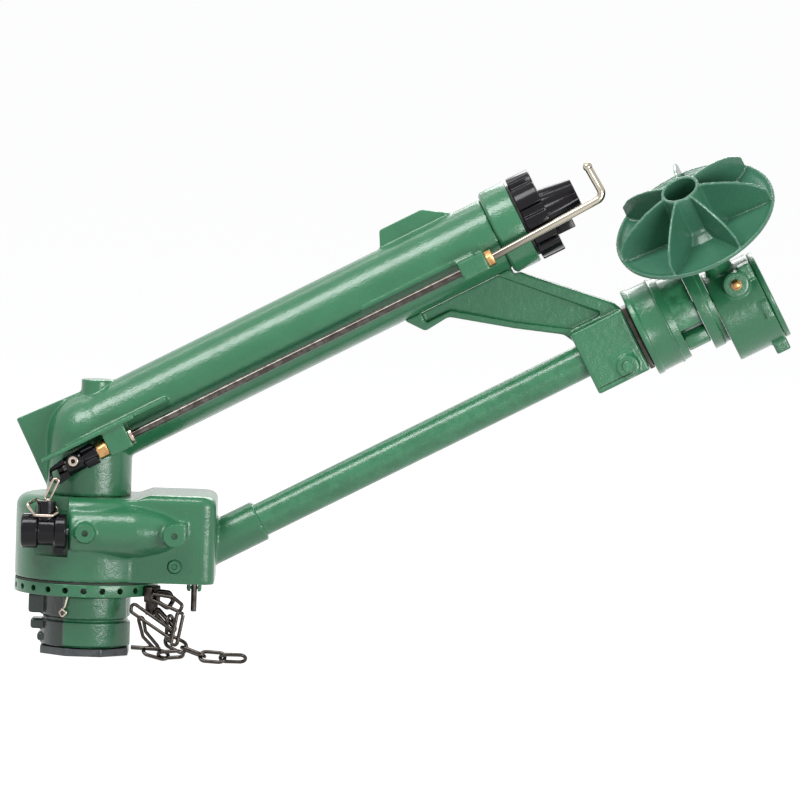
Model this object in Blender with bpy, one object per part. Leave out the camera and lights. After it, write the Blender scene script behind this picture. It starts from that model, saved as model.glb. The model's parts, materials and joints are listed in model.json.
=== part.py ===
"""Turbine-driven big-gun sprinkler: swivel base, raised barrel, drive tube and jet turbine.

Metres, +Z up. The origin is on the swivel axis, at the underside of the inlet flange. The
barrel points to +X and up, and the breaker rod is on its -Y side.
"""

from math import asin, atan2, cos, pi, radians, sin, sqrt, tan

import bmesh
import bpy
from mathutils import Matrix, Vector

# Clearance between pieces that touch, and how deep a boss reaches into what carries it
FIT = 0.0003
ROOT = 0.001

# Barrel: elevation, and height of its axis over the gear housing
ELEVATION = radians(28.1)
ELBOW_RISE = 0.060
BARREL_RADIUS = 0.038
BARREL_BORE = 0.032
BARREL_LENGTH = 0.452
ELBOW_RADIUS = 0.0425
ELBOW_BORE = 0.036
ELBOW_DROP = 0.002
END_RING_RADIUS = 0.044
END_RING_LENGTH = 0.029
END_RING_CHAMFER = 0.002
GASKET_LENGTH = 0.003
GASKET_BORE = 0.024

# Nozzle nut and nozzle
NUT_RADIUS = 0.044
NUT_CROWN = 0.001
NUT_GROOVE = 0.005
NUT_BORE = 0.026
NUT_LENGTH = 0.024
NUT_LUGS = 8
NUT_PHASE = radians(12.6)
NOZZLE_LENGTH = 0.034
NOZZLE_SEAT = 0.004
NOZZLE_ROOT_RADIUS = 0.022
NOZZLE_TIP_RADIUS = 0.0165
NOZZLE_BORE = 0.010
NOZZLE_CONE_LENGTH = 0.024
NOZZLE_RIBS = 10
NOZZLE_RIB_HEIGHT = 0.0022
NOZZLE_LUG_REACH = 0.0282
NOZZLE_LUG_HALF = 0.0105
NOZZLE_LUG_LENGTH = 0.019

# Fins, shelf, ledge and plug boss on the barrel
REAR_FIN_THICKNESS = 0.006
REAR_FIN_OUTLINE = ((-0.060, 0.0465), (0.009, 0.0425), (0.020, 0), (-0.020, -0.045), (-0.0625, -0.0295))
TOP_FIN_BACK = 0.024
TOP_FIN_LENGTH = 0.088
TOP_FIN_HEIGHT = 0.0168
TOP_FIN_THICKNESS = 0.007
TOP_FIN_FRONT_SLOPE = 0.032
TOP_FIN_REAR_SLOPE = 0.009
SHELF_START = -0.052
SHELF_END = 0.086
SHELF_REACH = 0.064
SHELF_THICKNESS = 0.004
LEDGE_BACK = 0.028
LEDGE_LENGTH = 0.124
LEDGE_REACH = 0.0395
LEDGE_DROP = 0.004
LEDGE_THICKNESS = 0.005
PLUG_BOSS_RADIUS = 0.016
PLUG_BOSS_X = 0.0023
PLUG_BOSS_RISE = 0.051

# Jet-breaker rod and the blocks, nuts and collar that hold it
ROD_RADIUS = 0.004
ROD_SIDE = 0.053
ROD_DROP = 0.0165
ROD_START = -0.036
ROD_KINK_BACK = 0.011
ROD_KINK_ANGLE = radians(2.2)
ROD_BEND_AHEAD = 0.114
ROD_BEND_RADIUS = 0.008
ROD_TIP_HEIGHT = 0.034
ROD_TIP_BACK = 0.002
ROD_BALL_RADIUS = 0.0048
ROD_BLOCK_COVER = 0.009
LOW_BLOCK_START = 0.013
LOW_BLOCK_END = 0.037
LOW_BLOCK_BELOW = 0.010
LOW_BLOCK_TOP = 0.001
HIGH_BLOCK_BACK = 0.019
HIGH_BLOCK_LENGTH = 0.028
HIGH_BLOCK_HALF = 0.009
ROD_NUT_FLATS = 0.0165
ROD_NUT_LENGTH = 0.011
HIGH_NUT_RADIUS = 0.0088
HIGH_NUT_LENGTH = 0.0072
ROD_NUT_PHASE = radians(14)
COLLAR_RADIUS = 0.0085
COLLAR_LENGTH = 0.0037

# Winged knob and slotted lever on the rod's lower end
KNOB_GAP = 0.0012
KNOB_LENGTH = 0.015
KNOB_BACK_RADIUS = 0.006
KNOB_FRONT_RADIUS = 0.0075
WING_ROOT = 0.005
WING_HALF = 0.0022
WING_TIP = 0.010
WING_PHASE = radians(34)
LEVER_GAP = 0.0005
LEVER_THICKNESS = 0.008
LEVER_SHIFT = 0.0025
LEVER_HUB_RADIUS = 0.0098
LEVER_HUB_LENGTH = 0.018
LEVER_OUTLINE = (
    (-0.020, 0.009),
    (0, 0.0105),
    (0, -0.0090),
    (-0.018, -0.0105),
    (-0.031, -0.0125),
    (-0.040, -0.005),
    (-0.034, 0.0060),
)
LEVER_SLOT = (
    (-0.0280, 0.0020),
    (-0.0335, 0.0020),
    (-0.0355, -0.0060),
    (-0.0335, -0.0095),
    (-0.0300, -0.0095),
    (-0.0280, -0.0060),
)
LEVER_BOSS_RADIUS = 0.0066
LEVER_BOSS_BACK = 0.009
LEVER_BOSS_RISE = 0.003
LEVER_BOSS_REACH = 0.0105
EYELET_RADIUS = 0.0050
EYELET_BORE = 0.0022
EYELET_LENGTH = 0.0047
EYELET_PROUD = 0.001

# Drive tube below the barrel
TUBE_RADIUS = 0.017
TUBE_BORE = 0.0135
TUBE_END_GAP = 0.006
BEARING_LENGTH = 0.010
BEARING_INSET = 0.004
SPIGOT_RADIUS = 0.021
SPIGOT_END = 0.114
SPIGOT_DEPTH = 0.014
SHAFT_ROOM_RADIUS = 0.0125

# Arm from the barrel to the clamp on the tube
CLAMP_AHEAD = 0.022
CLAMP_LENGTH = 0.057
CLAMP_HALF_WIDTH = 0.025
CLAMP_TOP = 0.031
CLAMP_BOTTOM = 0.0355
CLAMP_BOLT_BACK = 0.019
CLAMP_BOLT_DROP = 0.0225
CLAMP_BOLT_RADIUS = 0.004
CLAMP_BOLT_HEAD_RADIUS = 0.0055
CLAMP_BOLT_HEAD_HEIGHT = 0.0035
CLAMP_NUT_RADIUS = 0.007
CLAMP_NUT_HEIGHT = 0.005
CLAMP_BOSS_RADIUS = 0.0115
CLAMP_BOSS_REACH = 0.029
ARM_WEB = 0.009
ARM_RIM = 0.018

# The arm's outline and its web's, as a length from the barrel's end and a share of the way down
ARM_LOW_EDGE = ((-0.125, 0.203), (-0.106, 0.366), (-0.079, 0.350), (-0.025, 0.608), (0.0165, 0.788))
ARM_CLAMP_SHARE = 0.860
ARM_TOP_START = (-0.013, 0.176)
ARM_SHOULDER = (0.004, 0.0085)
ARM_WEB_OUTLINE = (
    (-0.102, 0.233),
    (-0.019, 0.233),
    (0.060, 0.7615),
    (0.056, 0.778),
    (0.026, 0.778),
    (-0.022, 0.572),
    (-0.074, 0.318),
    (-0.102, 0.318),
)

# Gear head under the turbine
SPACER_THICKNESS = 0.005
SPACER_HALF_WIDTH = 0.024
FLANGE_LENGTH = 0.0375
FLANGE_RADIUS = 0.046
FLANGE_RIM = 0.006
FLANGE_STEP = 0.0015
FLANGE_SEAM = 0.028
FLANGE_FLOOR = 0.005
NECK_RADIUS = 0.0265
NECK_BORE = 0.013
NECK_LENGTH = 0.0245
NECK_END_RADIUS = 0.0195
NECK_SLOPE = 0.009
HEAD_BOLT_RADIUS = 0.011
HEAD_BOLT_PHASE = radians(5.7)
CASE_PLATE_RADIUS = 0.0475
CASE_PLATE_THICKNESS = 0.0175
CASE_RADIUS = 0.047
CASE_DROP = 0.022
CASE_LENGTH = 0.050
CASE_WALL = 0.005
CASE_BACK_WALL = 0.004
CASE_MOUTH_RADIUS = 0.0172
CAP_THICKNESS = 0.006
CASE_TAB_LENGTH = 0.015
CASE_TAB_HALF = 0.012
CASE_TAB_BELOW = 0.0105
CASE_TAB_ABOVE = 0.003
EAR_SIZE = (0.0125, 0.022, 0.0165)
EAR_BACK = 0.001
EAR_START = -0.046
EAR_LOW = 0.0025
PAD_SIZE = (0.009, 0.0252, 0.019)
PAD_BACK = 0.0005
PAD_LOW = -0.041
SCREW_AHEAD = 0.0085
SCREW_RISE = 0.004
SCREW_BOSS_RADIUS = 0.0128
SCREW_BOSS_REACH = 0.0475
SCREW_RADIUS = 0.003
SCREW_DEPTH = 0.0035
SCREW_HEAD_RADIUS = 0.0052
SCREW_HEAD_HEIGHT = 0.006
TURBINE_IN_CASE = 0.0199
TURBINE_LEAN = radians(31.5)
TURBINE_NECK_RADIUS = 0.014
TURBINE_NECK_GAP = 0.022
NECK_BUSH_START = 0.031

# Turbine wheel
WHEEL_RADIUS = 0.084
WHEEL_RIM_HEIGHT = 0.095
WHEEL_RIM = 0.004
WHEEL_DISH = 0.010
WHEEL_THICKNESS = 0.003
HUB_RADIUS = 0.020
HUB_BORE = 0.0165
HUB_RISE = 0.041
HUB_FLOOR = 0.004
VANES = 7
VANE_PHASE = radians(33)
VANE_THICKNESS = 0.003
WHEEL_NUT_RADIUS = 0.009
WHEEL_NUT_LENGTH = 0.006

# A vane's edge from the rim to the hub, as a radius and a height above the rim
VANE_EDGE = (
    (0.082, 0.001),
    (0.0815, 0.0125),
    (0.0725, 0.0215),
    (0.064, 0.0265),
    (0.0555, 0.0305),
    (0.028, 0.039),
)

# Shafts and gears
CROSS_X = 0.089
CROSS_Z = 0.0941
SHAFT_RADIUS = 0.005
CROSS_SHAFT_RADIUS = 0.004
BEVEL_TEETH = 12
BEVEL_RADIUS = 0.012
BEVEL_ADDENDUM = 0.0012
BEVEL_DEDENDUM = 0.0018
BEVEL_FACE = 0.005
BEVEL_HUB_RADIUS = 0.0075
BEVEL_HUB_LENGTH = 0.005
SPUR_MODULE = 0.00185
SPUR_ADDENDUM = 0.0015
SPUR_DEDENDUM = 0.0021
PINION_TEETH = 12
SPUR_TEETH = 24
SPUR_FACE = 0.009
WORM_RADIUS = 0.013
WORM_HALF_LENGTH = 0.0095
WORM_ADDENDUM = 0.0018
WORM_DEDENDUM = 0.0026
THREAD_ROOT = 0.0019
THREAD_TIP = 0.0008
WHEEL_ADDENDUM = 0.0019
WHEEL_TEETH = 36
WORM_WHEEL_RADIUS = 0.045
WORM_WHEEL_FACE = 0.010
BUSH_WALL = 0.003

# Gear housing on the swivel
DRUM_RADIUS = 0.072
DRUM_CORNER = 0.013
HOUSING_WALL = 0.006
HOUSING_BOTTOM = 0.0766
HOUSING_TOP = 0.160
BOX_LEFT = 0.040
BOX_RIGHT = 0.129
BOX_FRONT = 0.056
BOX_RISE = 0.0045
BOX_CORNER = 0.012
BULGE_RADIUS = 0.025
BULGE_LEFT = -0.017
BULGE_RIGHT = 0.094
BULGE_WALL = 0.0045
COVER_THICKNESS = 0.0020
HOUSING_BUSH_WALL = 0.0035
RIGHT_BOSS_RADIUS = 0.0115
RIGHT_BOSS_REACH = 0.090
LEFT_BOSS_RADIUS = 0.010
LEFT_BOSS_REACH = 0.088
OIL_HOLE_RADIUS = 0.0033
OIL_HOLE_DEPTH = 0.006
PLUG_PROUD = 0.0015

# Black rocker drum in a pocket of the housing
ROCKER_RADIUS = 0.0175
ROCKER_LEFT = -0.0637
ROCKER_RIGHT = -0.0187
ROCKER_Y = -0.070
ROCKER_PIN_RADIUS = 0.004
ROCKER_NECK_RADIUS = 0.0095
ROCKER_NECK_X = -0.0395
ROCKER_NECK_TOP = 0.030
ROCKER_NUB_DROP = 0.0045
ROCKER_NUB_SIZE = 0.011
ROCKER_PIN_INSET = 0.002
POCKET_GAP = 0.002
POCKET_WALL = 0.004
POCKET_DROP = 0.026
WIRE_RADIUS = 0.0016
BAIL_BEND = 0.0025
BAIL_POINTS = (
    (-0.0185, -0.0095, 0.0265),
    (-0.0105, -0.0117, 0.0160),
    (0.0065, -0.0117, 0.0160),
    (0.0117, -0.0060, 0.0190),
    (0.0117, 0.0105, 0.0215),
    (-0.0105, 0.0125, 0.0300),
)
LINK_PIVOT_Y = -0.0575
LINK_PIVOT_HEIGHT = 0.0298
LINK_TOP_DROP = 0.0418
LINK_TOP_X = -0.0305
LINK_HALF_WIDTH = 0.003
LINK_BEND = 0.0018
LINK_PEG_RADIUS = 0.0016
LINK_PEG_LENGTH = 0.0080

# Base: inlet flange, sleeve, sector ring and riser
WATER_BORE = 0.030
FLANGE_CORNERS = 8
FLANGE_CORNER_RADIUS = 0.0475
FLANGE_HEIGHT = 0.008
SLEEVE_RADIUS = 0.045
SLEEVE_BORE = 0.0365
SLEEVE_CHAMFER = 0.002
GROOVE_LOW = 0.034
GROOVE_HIGH = 0.039
GROOVE_DEPTH = 0.0025
GROOVE_SLOPE = 0.001
LUG_REACH = 0.0125
LUG_DEPTH = 0.003
LUG_RIGHT = -0.016
LUG_BACK = 0.010
LUG_LEVELS = ((0.012, 0.020), (0.0235, 0.032), (0.0400, 0.0475), (0.0505, 0.0600))
LUG_SHARES = (0.2, 0.75, 0.8, 1.0)
PANEL_X = (-0.020, 0.034)
PANEL_Z = (0.0105, 0.0325)
PANEL_PROUD = 0.0012
SECTOR_RADIUS = 0.072
SECTOR_BOTTOM = 0.062
SECTOR_TOP = 0.0745
SECTOR_HOLES = 24
SECTOR_HOLE_RADIUS = 0.00315
SECTOR_HOLE_DEPTH = 0.014
WASHER_TOP = 0.0763
WASHER_INNER = 0.050
WASHER_OUTER = 0.069
RISER_RADIUS = 0.034
RISER_RISE = 0.016
SEAL_HEIGHT = 0.005
SEAL_RISE = 0.004

# Sector stops, trip lever and chain
STOP_ANGLE = radians(-29)
STOP_WIRE_RADIUS = 0.0024
STOP_BLOCK_DEPTH = 0.009
STOP_BLOCK_HALF = 0.010
STOP_BLOCK_BOTTOM = 0.048
STOP_BLOCK_GAP = 0.0005
STOP_BLOCK_BELOW = 0.0015
UPPER_STOP_POINTS = (
    (0, -0.0015, 0.068),
    (0.013, -0.0005, 0.0675),
    (0.0175, 0, 0.060),
    (0.012, -0.0005, 0.0515),
    (0, -0.0015, 0.0575),
)
UPPER_STOP_BEND = 0.003
LOWER_STOP_REACH = 0.0242
LOWER_STOP_DROP = 0.0192
LOWER_STOP_TOP = 0.0520
LOWER_STOP_WIDTH = 0.0072
LOWER_STOP_TIP = 0.0045
LOWER_STOP_SHIFT = 0.0030
LOWER_STOP_BEND = 0.002
TRIP_X = 0.1085
TRIP_DROP = 0.006
TRIP_RADIUS = 0.003
TRIP_LENGTH = 0.024
TRIP_PIN_RADIUS = 0.0015
HANGER_HALF = 0.0075
HANGER_DEPTH = 0.0035
HANGER_DROP = 0.010
LINK_WIRE_RADIUS = 0.0019
LINK_BEND_RADIUS = 0.0058
LINK_STRAIGHT = 0.0135
LINK_SLACK = 0.0007
LINK_HANG = 0.017
LINK_SHIFT = 0.0049

# Sizes that follow from those above
ELBOW_HEIGHT = HOUSING_TOP + ELBOW_RISE
BOX_TOP = HOUSING_TOP + BOX_RISE
RISER_TOP = HOUSING_TOP + RISER_RISE
PLUG_BOSS_TOP = ELBOW_HEIGHT + PLUG_BOSS_RISE
TOP_FIN_END = BARREL_LENGTH - TOP_FIN_BACK
TOP_FIN_START = TOP_FIN_END - TOP_FIN_LENGTH
LEDGE_END = BARREL_LENGTH - LEDGE_BACK
LEDGE_START = LEDGE_END - LEDGE_LENGTH
HIGH_BLOCK_END = BARREL_LENGTH - HIGH_BLOCK_BACK
HIGH_BLOCK_START = HIGH_BLOCK_END - HIGH_BLOCK_LENGTH
ROD_KINK = BARREL_LENGTH - ROD_KINK_BACK
ROD_BEND = BARREL_LENGTH + ROD_BEND_AHEAD
NUT_START = BARREL_LENGTH + END_RING_LENGTH + GASKET_LENGTH
NOZZLE_START = NUT_START + NUT_LENGTH
CLAMP_START = BARREL_LENGTH + CLAMP_AHEAD
CLAMP_END = CLAMP_START + CLAMP_LENGTH
CLAMP_BOLT_AT = CLAMP_END - CLAMP_BOLT_BACK
SPACER_START = CLAMP_END + FIT
FLANGE_START = SPACER_START + SPACER_THICKNESS + FIT
NECK_START = FLANGE_START + FLANGE_LENGTH
CASE_PLATE_START = NECK_START + NECK_LENGTH
CASE_START = CASE_PLATE_START + CASE_PLATE_THICKNESS
CASE_END = CASE_START + CASE_LENGTH
TURBINE_AT = CASE_START + TURBINE_IN_CASE
TURBINE_NECK_END = WHEEL_RIM_HEIGHT - TURBINE_NECK_GAP
HUB_TOP = WHEEL_RIM_HEIGHT + HUB_RISE
TUBE_START = SPIGOT_END - SPIGOT_DEPTH
ALONG = Vector((cos(ELEVATION), 0, sin(ELEVATION)))
ABOVE = Vector((-sin(ELEVATION), 0, cos(ELEVATION)))
ELBOW = Vector((0, 0, ELBOW_HEIGHT))
LOWER_CROSS = Vector((CROSS_X, 0, CROSS_Z))
TUBE_DROP = (ELBOW - LOWER_CROSS).dot(ABOVE)
TUBE_ORIGIN = ELBOW - TUBE_DROP * ABOVE
CROSS_AT = (LOWER_CROSS - TUBE_ORIGIN).dot(ALONG)
GEAR_DISTANCE = SPUR_MODULE * (PINION_TEETH + SPUR_TEETH) / 2
WORM_Z = CROSS_Z + GEAR_DISTANCE
WORM_Y = -(WORM_WHEEL_RADIUS + WORM_RADIUS)
WORM_LEAD = 2 * pi * WORM_WHEEL_RADIUS / WHEEL_TEETH
BOX_INSIDE = BOX_FRONT - HOUSING_WALL
MID_WALL_REAR = -(BEVEL_RADIUS + 0.003)
MID_WALL_FRONT = MID_WALL_REAR - 0.008
SPUR_REAR = MID_WALL_FRONT - 0.002
SPUR_FRONT = SPUR_REAR - SPUR_FACE
TRIP_Y = (MID_WALL_FRONT + MID_WALL_REAR) / 2
LINK_TOP_Z = ELBOW_HEIGHT - LINK_TOP_DROP


def clear_scene():
    for item in list(bpy.data.objects):
        bpy.data.objects.remove(item)


def finish(name, colour, metallic, roughness):
    """A plain Principled material, made once for each name."""
    if name in bpy.data.materials:
        return bpy.data.materials[name]
    material = bpy.data.materials.new(name)
    material.use_nodes = True
    shader = material.node_tree.nodes["Principled BSDF"]
    shader.inputs["Base Color"].default_value = (*colour, 1)
    shader.inputs["Metallic"].default_value = metallic
    shader.inputs["Roughness"].default_value = roughness
    return material


clear_scene()
GREEN = finish("green_enamel", (0.06, 0.26, 0.13), 0.0, 0.28)
BLACK = finish("black_plastic", (0.012, 0.010, 0.014), 0.0, 0.3)
NICKEL = finish("nickel_plate", (0.62, 0.55, 0.45), 1.0, 0.25)
BRASS = finish("brass", (0.60, 0.38, 0.14), 1.0, 0.3)
STEEL = finish("grey_steel", (0.20, 0.21, 0.22), 1.0, 0.45)
DARK_STEEL = finish("dark_steel", (0.06, 0.05, 0.045), 1.0, 0.4)
BRONZE = finish("bronze", (0.42, 0.26, 0.12), 1.0, 0.4)
RUBBER = finish("rubber", (0.015, 0.015, 0.015), 0.0, 0.8)


def frame(name, origin=(0, 0, 0), x=(1, 0, 0), z=(0, 0, 1)):
    """An empty at origin whose X and Z axes point along x and z."""
    x = Vector(x).normalized()
    z = Vector(z).normalized()
    turn = Matrix((x, z.cross(x), z)).transposed().to_4x4()
    empty = bpy.data.objects.new(name, None)
    empty.empty_display_size = 0.02
    empty.matrix_world = Matrix.Translation(Vector(origin)) @ turn
    bpy.context.scene.collection.objects.link(empty)
    return empty


def piece(name, shape, material, parent=None, sharp=35):
    """An object from a bmesh in its parent's coordinates."""
    bmesh.ops.remove_doubles(shape, verts=shape.verts, dist=1e-7)
    bmesh.ops.recalc_face_normals(shape, faces=shape.faces)
    mesh = bpy.data.meshes.new(name)
    shape.to_mesh(mesh)
    shape.free()
    mesh.materials.append(material)
    mesh.shade_smooth()
    mesh.set_sharp_from_angle(angle=radians(sharp))
    item = bpy.data.objects.new(name, mesh)
    item.parent = parent
    bpy.context.scene.collection.objects.link(item)
    return item


def tool(name, shape, parent=None):
    """A shape that only takes part in Booleans."""
    item = piece(name, shape, GREEN, parent)
    item.hide_render = True
    item.display_type = "WIRE"
    return item


def combine(item, operation, others):
    for other in others:
        step = item.modifiers.new(other.name, "BOOLEAN")
        step.operation = operation
        step.solver = "EXACT"
        step.object = other
    return item


def unite(item, *others):
    return combine(item, "UNION", others)


def carve(item, *others):
    return combine(item, "DIFFERENCE", others)


TO_X = Matrix(((0, 0, 1, 0), (0, 1, 0, 0), (-1, 0, 0, 0), (0, 0, 0, 1)))
TO_FRONT = Matrix(((1, 0, 0, 0), (0, 0, -1, 0), (0, 1, 0, 0), (0, 0, 0, 1)))


def lathe(profile, segments=24, turn=Matrix(), at=(0, 0, 0), shape=None):
    """Turns (radius, height) points about Z. A profile off the axis closes on itself."""
    shape = shape or bmesh.new()
    rings = []
    for radius, height in profile:
        count = 1 if radius == 0 else segments
        ring = []
        for n in range(count):
            angle = 2 * pi * n / segments
            point = Vector((radius * cos(angle), radius * sin(angle), height))
            ring.append(shape.verts.new(turn @ point + Vector(at)))
        rings.append(ring)
    solid = profile[0][0] == 0
    pairs = list(zip(rings, rings[1:]))
    if not solid:
        pairs.append((rings[-1], rings[0]))
    for low, high in pairs:
        for n in range(segments):
            m = (n + 1) % segments
            corners = [low[n % len(low)], low[m % len(low)], high[m % len(high)], high[n % len(high)]]
            unique = list(dict.fromkeys(corners))
            if len(unique) > 2:
                shape.faces.new(unique)
    return shape


def cylinder(radius, low, high, segments=20, turn=Matrix(), at=(0, 0, 0)):
    return lathe([(0, low), (radius, low), (radius, high), (0, high)], segments, turn, at)


def pipe(outer, inner, low, high, segments=24, turn=Matrix(), at=(0, 0, 0)):
    profile = [(inner, low), (outer, low), (outer, high), (inner, high)]
    return lathe(profile, segments, turn, at)


def prism(outline, low, high, turn=Matrix(), at=(0, 0, 0), top=None):
    """Extrudes an outline of (x, y) along Z. top may hold a second outline for the far end."""
    shape = bmesh.new()
    ends = []
    for points, height in ((outline, low), (top or outline, high)):
        ring = [shape.verts.new(turn @ Vector((x, y, height)) + Vector(at)) for x, y in points]
        ends.append(ring)
    shape.faces.new(list(reversed(ends[0])))
    shape.faces.new(ends[1])
    for n in range(len(outline)):
        m = (n + 1) % len(outline)
        shape.faces.new([ends[0][n], ends[0][m], ends[1][m], ends[1][n]])
    return shape


def block(x, y, z):
    """A box from three (low, high) pairs."""
    outline = [(x[0], y[0]), (x[1], y[0]), (x[1], y[1]), (x[0], y[1])]
    return prism(outline, z[0], z[1])


def slab(outline, half, middle=0):
    """Extrudes an outline of (x, z) along Y, half each way of middle."""
    return prism(outline, -half - middle, half - middle, TO_FRONT)


def polygon(sides, radius, phase=0):
    angles = [2 * pi * n / sides + phase for n in range(sides)]
    return [(radius * cos(a), radius * sin(a)) for a in angles]


def rounded(points, radius, steps=4, closed=False):
    """Replaces each corner of a path with an arc."""
    points = [Vector(p) for p in points]
    count = len(points)
    out = []
    for n, corner in enumerate(points):
        if not closed and n in (0, count - 1):
            out.append(corner)
            continue
        before = (points[n - 1] - corner).normalized()
        after = (points[(n + 1) % count] - corner).normalized()
        half = before.angle(after) / 2
        reach = radius / tan(half)
        start = corner + before * reach
        end = corner + after * reach
        centre = corner + (before + after).normalized() * radius / sin(half)
        for k in range(steps + 1):
            arm = (start - centre).lerp(end - centre, k / steps)
            out.append(centre + arm.normalized() * radius)
    return out


def sweep(path, radius, sides=10, closed=False, shape=None):
    """A round bar along a path, with flat ends or closed on itself."""
    shape = shape or bmesh.new()
    path = [Vector(p) for p in path]
    count = len(path)
    tangents = []
    for n in range(count):
        ahead = path[(n + 1) % count] if closed or n < count - 1 else path[n]
        behind = path[n - 1] if closed or n > 0 else path[n]
        tangents.append((ahead - behind).normalized())
    side = tangents[0].orthogonal().normalized()
    rings = []
    for n, point in enumerate(path):
        if n:
            side = tangents[n - 1].rotation_difference(tangents[n]) @ side
        up = tangents[n].cross(side)
        angles = [2 * pi * k / sides for k in range(sides)]
        ring = [shape.verts.new(point + radius * (cos(a) * side + sin(a) * up)) for a in angles]
        rings.append(ring)
    shift = 0
    if closed:
        side = tangents[-1].rotation_difference(tangents[0]) @ side
        first = rings[0][0].co - path[0]
        turned = atan2(tangents[0].cross(first).dot(side), first.dot(side))
        shift = round(-turned / (2 * pi / sides))
    pairs = [(rings[n], rings[n + 1], 0) for n in range(count - 1)]
    if closed:
        pairs.append((rings[-1], rings[0], shift))
    for low, high, turn in pairs:
        for k in range(sides):
            m = (k + 1) % sides
            shape.faces.new([low[k], low[m], high[(m + turn) % sides], high[(k + turn) % sides]])
    if not closed:
        shape.faces.new(list(reversed(rings[0])))
        shape.faces.new(rings[-1])
    return shape


def tooth_outline(teeth, pitch, addendum, dedendum, root=0.50, tip=0.20, phase=0.0):
    """Straight-sided teeth: root and tip are their widths as shares of the pitch."""
    points = []
    step = 2 * pi / teeth
    for n in range(teeth):
        middle = n * step + phase
        corners = [(-root, -dedendum), (-tip, addendum), (tip, addendum), (root, -dedendum)]
        for share, height in corners:
            angle = middle + share * step / 2
            radius = pitch + height
            points.append((radius * cos(angle), radius * sin(angle)))
    return points


def bevel_gear(name, parent, shaft_end, half_step=False, hub_length=BEVEL_HUB_LENGTH):
    """A 45 degree bevel gear about its frame's Z axis, with its apex at the frame's origin."""
    phase = pi / BEVEL_TEETH if half_step else 0
    outer = tooth_outline(BEVEL_TEETH, BEVEL_RADIUS, BEVEL_ADDENDUM, BEVEL_DEDENDUM, 0.52, 0.22, phase)
    inner_at = BEVEL_RADIUS - BEVEL_FACE
    share = inner_at / BEVEL_RADIUS
    inner = [(x * share, y * share) for x, y in outer]
    teeth = prism(inner, inner_at, BEVEL_RADIUS, top=outer)
    gear = piece(name, teeth, STEEL, parent)
    hub_end = BEVEL_RADIUS + hub_length
    hub = lathe(
        [
            (0, inner_at + ROOT),
            (SHAFT_RADIUS, inner_at + ROOT),
            (SHAFT_RADIUS, BEVEL_RADIUS - ROOT),
            (BEVEL_HUB_RADIUS, BEVEL_RADIUS - ROOT),
            (BEVEL_HUB_RADIUS, hub_end),
            (SHAFT_RADIUS, hub_end),
            (SHAFT_RADIUS, shaft_end),
            (0, shaft_end),
        ],
        24,
    )
    return unite(gear, tool(name + "_hub", hub, parent))


# Frames: the empties stand on the joint axes
barrel = frame("barrel_frame", ELBOW, ALONG, ABOVE)
tube = frame("tube_frame", TUBE_ORIGIN, ALONG, ABOVE)
swivel = frame("swivel_axis")
apex = TUBE_ORIGIN + TURBINE_AT * ALONG
lean = cos(TURBINE_LEAN) * ABOVE + sin(TURBINE_LEAN) * Vector((0, -1, 0))
turbine = frame("turbine_axis", apex, ALONG, lean)
drive = frame("drive_axis", TUBE_ORIGIN, ALONG, ABOVE)
lower_cross = frame("lower_cross_axis", LOWER_CROSS)
upper_cross = frame("upper_cross_axis", (CROSS_X, 0, WORM_Z))
worm = frame("worm_axis", (0, WORM_Y, WORM_Z))
rocker = frame("rocker_axis", (ROCKER_NECK_X, ROCKER_Y, WORM_Z))
rod = frame("rod_axis", ELBOW - ROD_SIDE * Vector((0, 1, 0)) - ROD_DROP * ABOVE, ALONG, ABOVE)
trip = frame("trip_axis", (TRIP_X, TRIP_Y, HOUSING_BOTTOM - TRIP_DROP))


# Base
flange_outline = polygon(FLANGE_CORNERS, FLANGE_CORNER_RADIUS, pi / FLANGE_CORNERS)
inlet_flange = piece("inlet_flange", prism(flange_outline, 0, FLANGE_HEIGHT), STEEL, swivel)
carve(inlet_flange, tool("inlet_bore", cylinder(WATER_BORE, -FLANGE_HEIGHT, 2 * FLANGE_HEIGHT, 24), swivel))

sleeve_bottom = FLANGE_HEIGHT + FIT
sleeve_top = SECTOR_BOTTOM - FIT
groove_radius = SLEEVE_RADIUS - GROOVE_DEPTH
sleeve_profile = [
    (SLEEVE_BORE, sleeve_bottom),
    (SLEEVE_RADIUS - SLEEVE_CHAMFER, sleeve_bottom),
    (SLEEVE_RADIUS, sleeve_bottom + SLEEVE_CHAMFER),
    (SLEEVE_RADIUS, GROOVE_LOW),
    (groove_radius, GROOVE_LOW + GROOVE_SLOPE),
    (groove_radius, GROOVE_HIGH - GROOVE_SLOPE),
    (SLEEVE_RADIUS, GROOVE_HIGH),
    (SLEEVE_RADIUS, sleeve_top),
    (SLEEVE_BORE, sleeve_top),
]
base_sleeve = piece("base_sleeve", lathe(sleeve_profile, 28), GREEN, swivel)
for number, (levels, share) in enumerate(zip(LUG_LEVELS, LUG_SHARES), 1):
    reach = SLEEVE_RADIUS + LUG_REACH * share
    lug = block((-reach, -SLEEVE_BORE - LUG_DEPTH), (LUG_RIGHT, LUG_BACK), levels)
    unite(base_sleeve, tool(f"sleeve_lug_{number}", lug, swivel))
panel = block(PANEL_X, (-SLEEVE_RADIUS - PANEL_PROUD, -SLEEVE_BORE - 2 * ROOT), PANEL_Z)
unite(base_sleeve, tool("sleeve_panel", panel, swivel))

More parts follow.
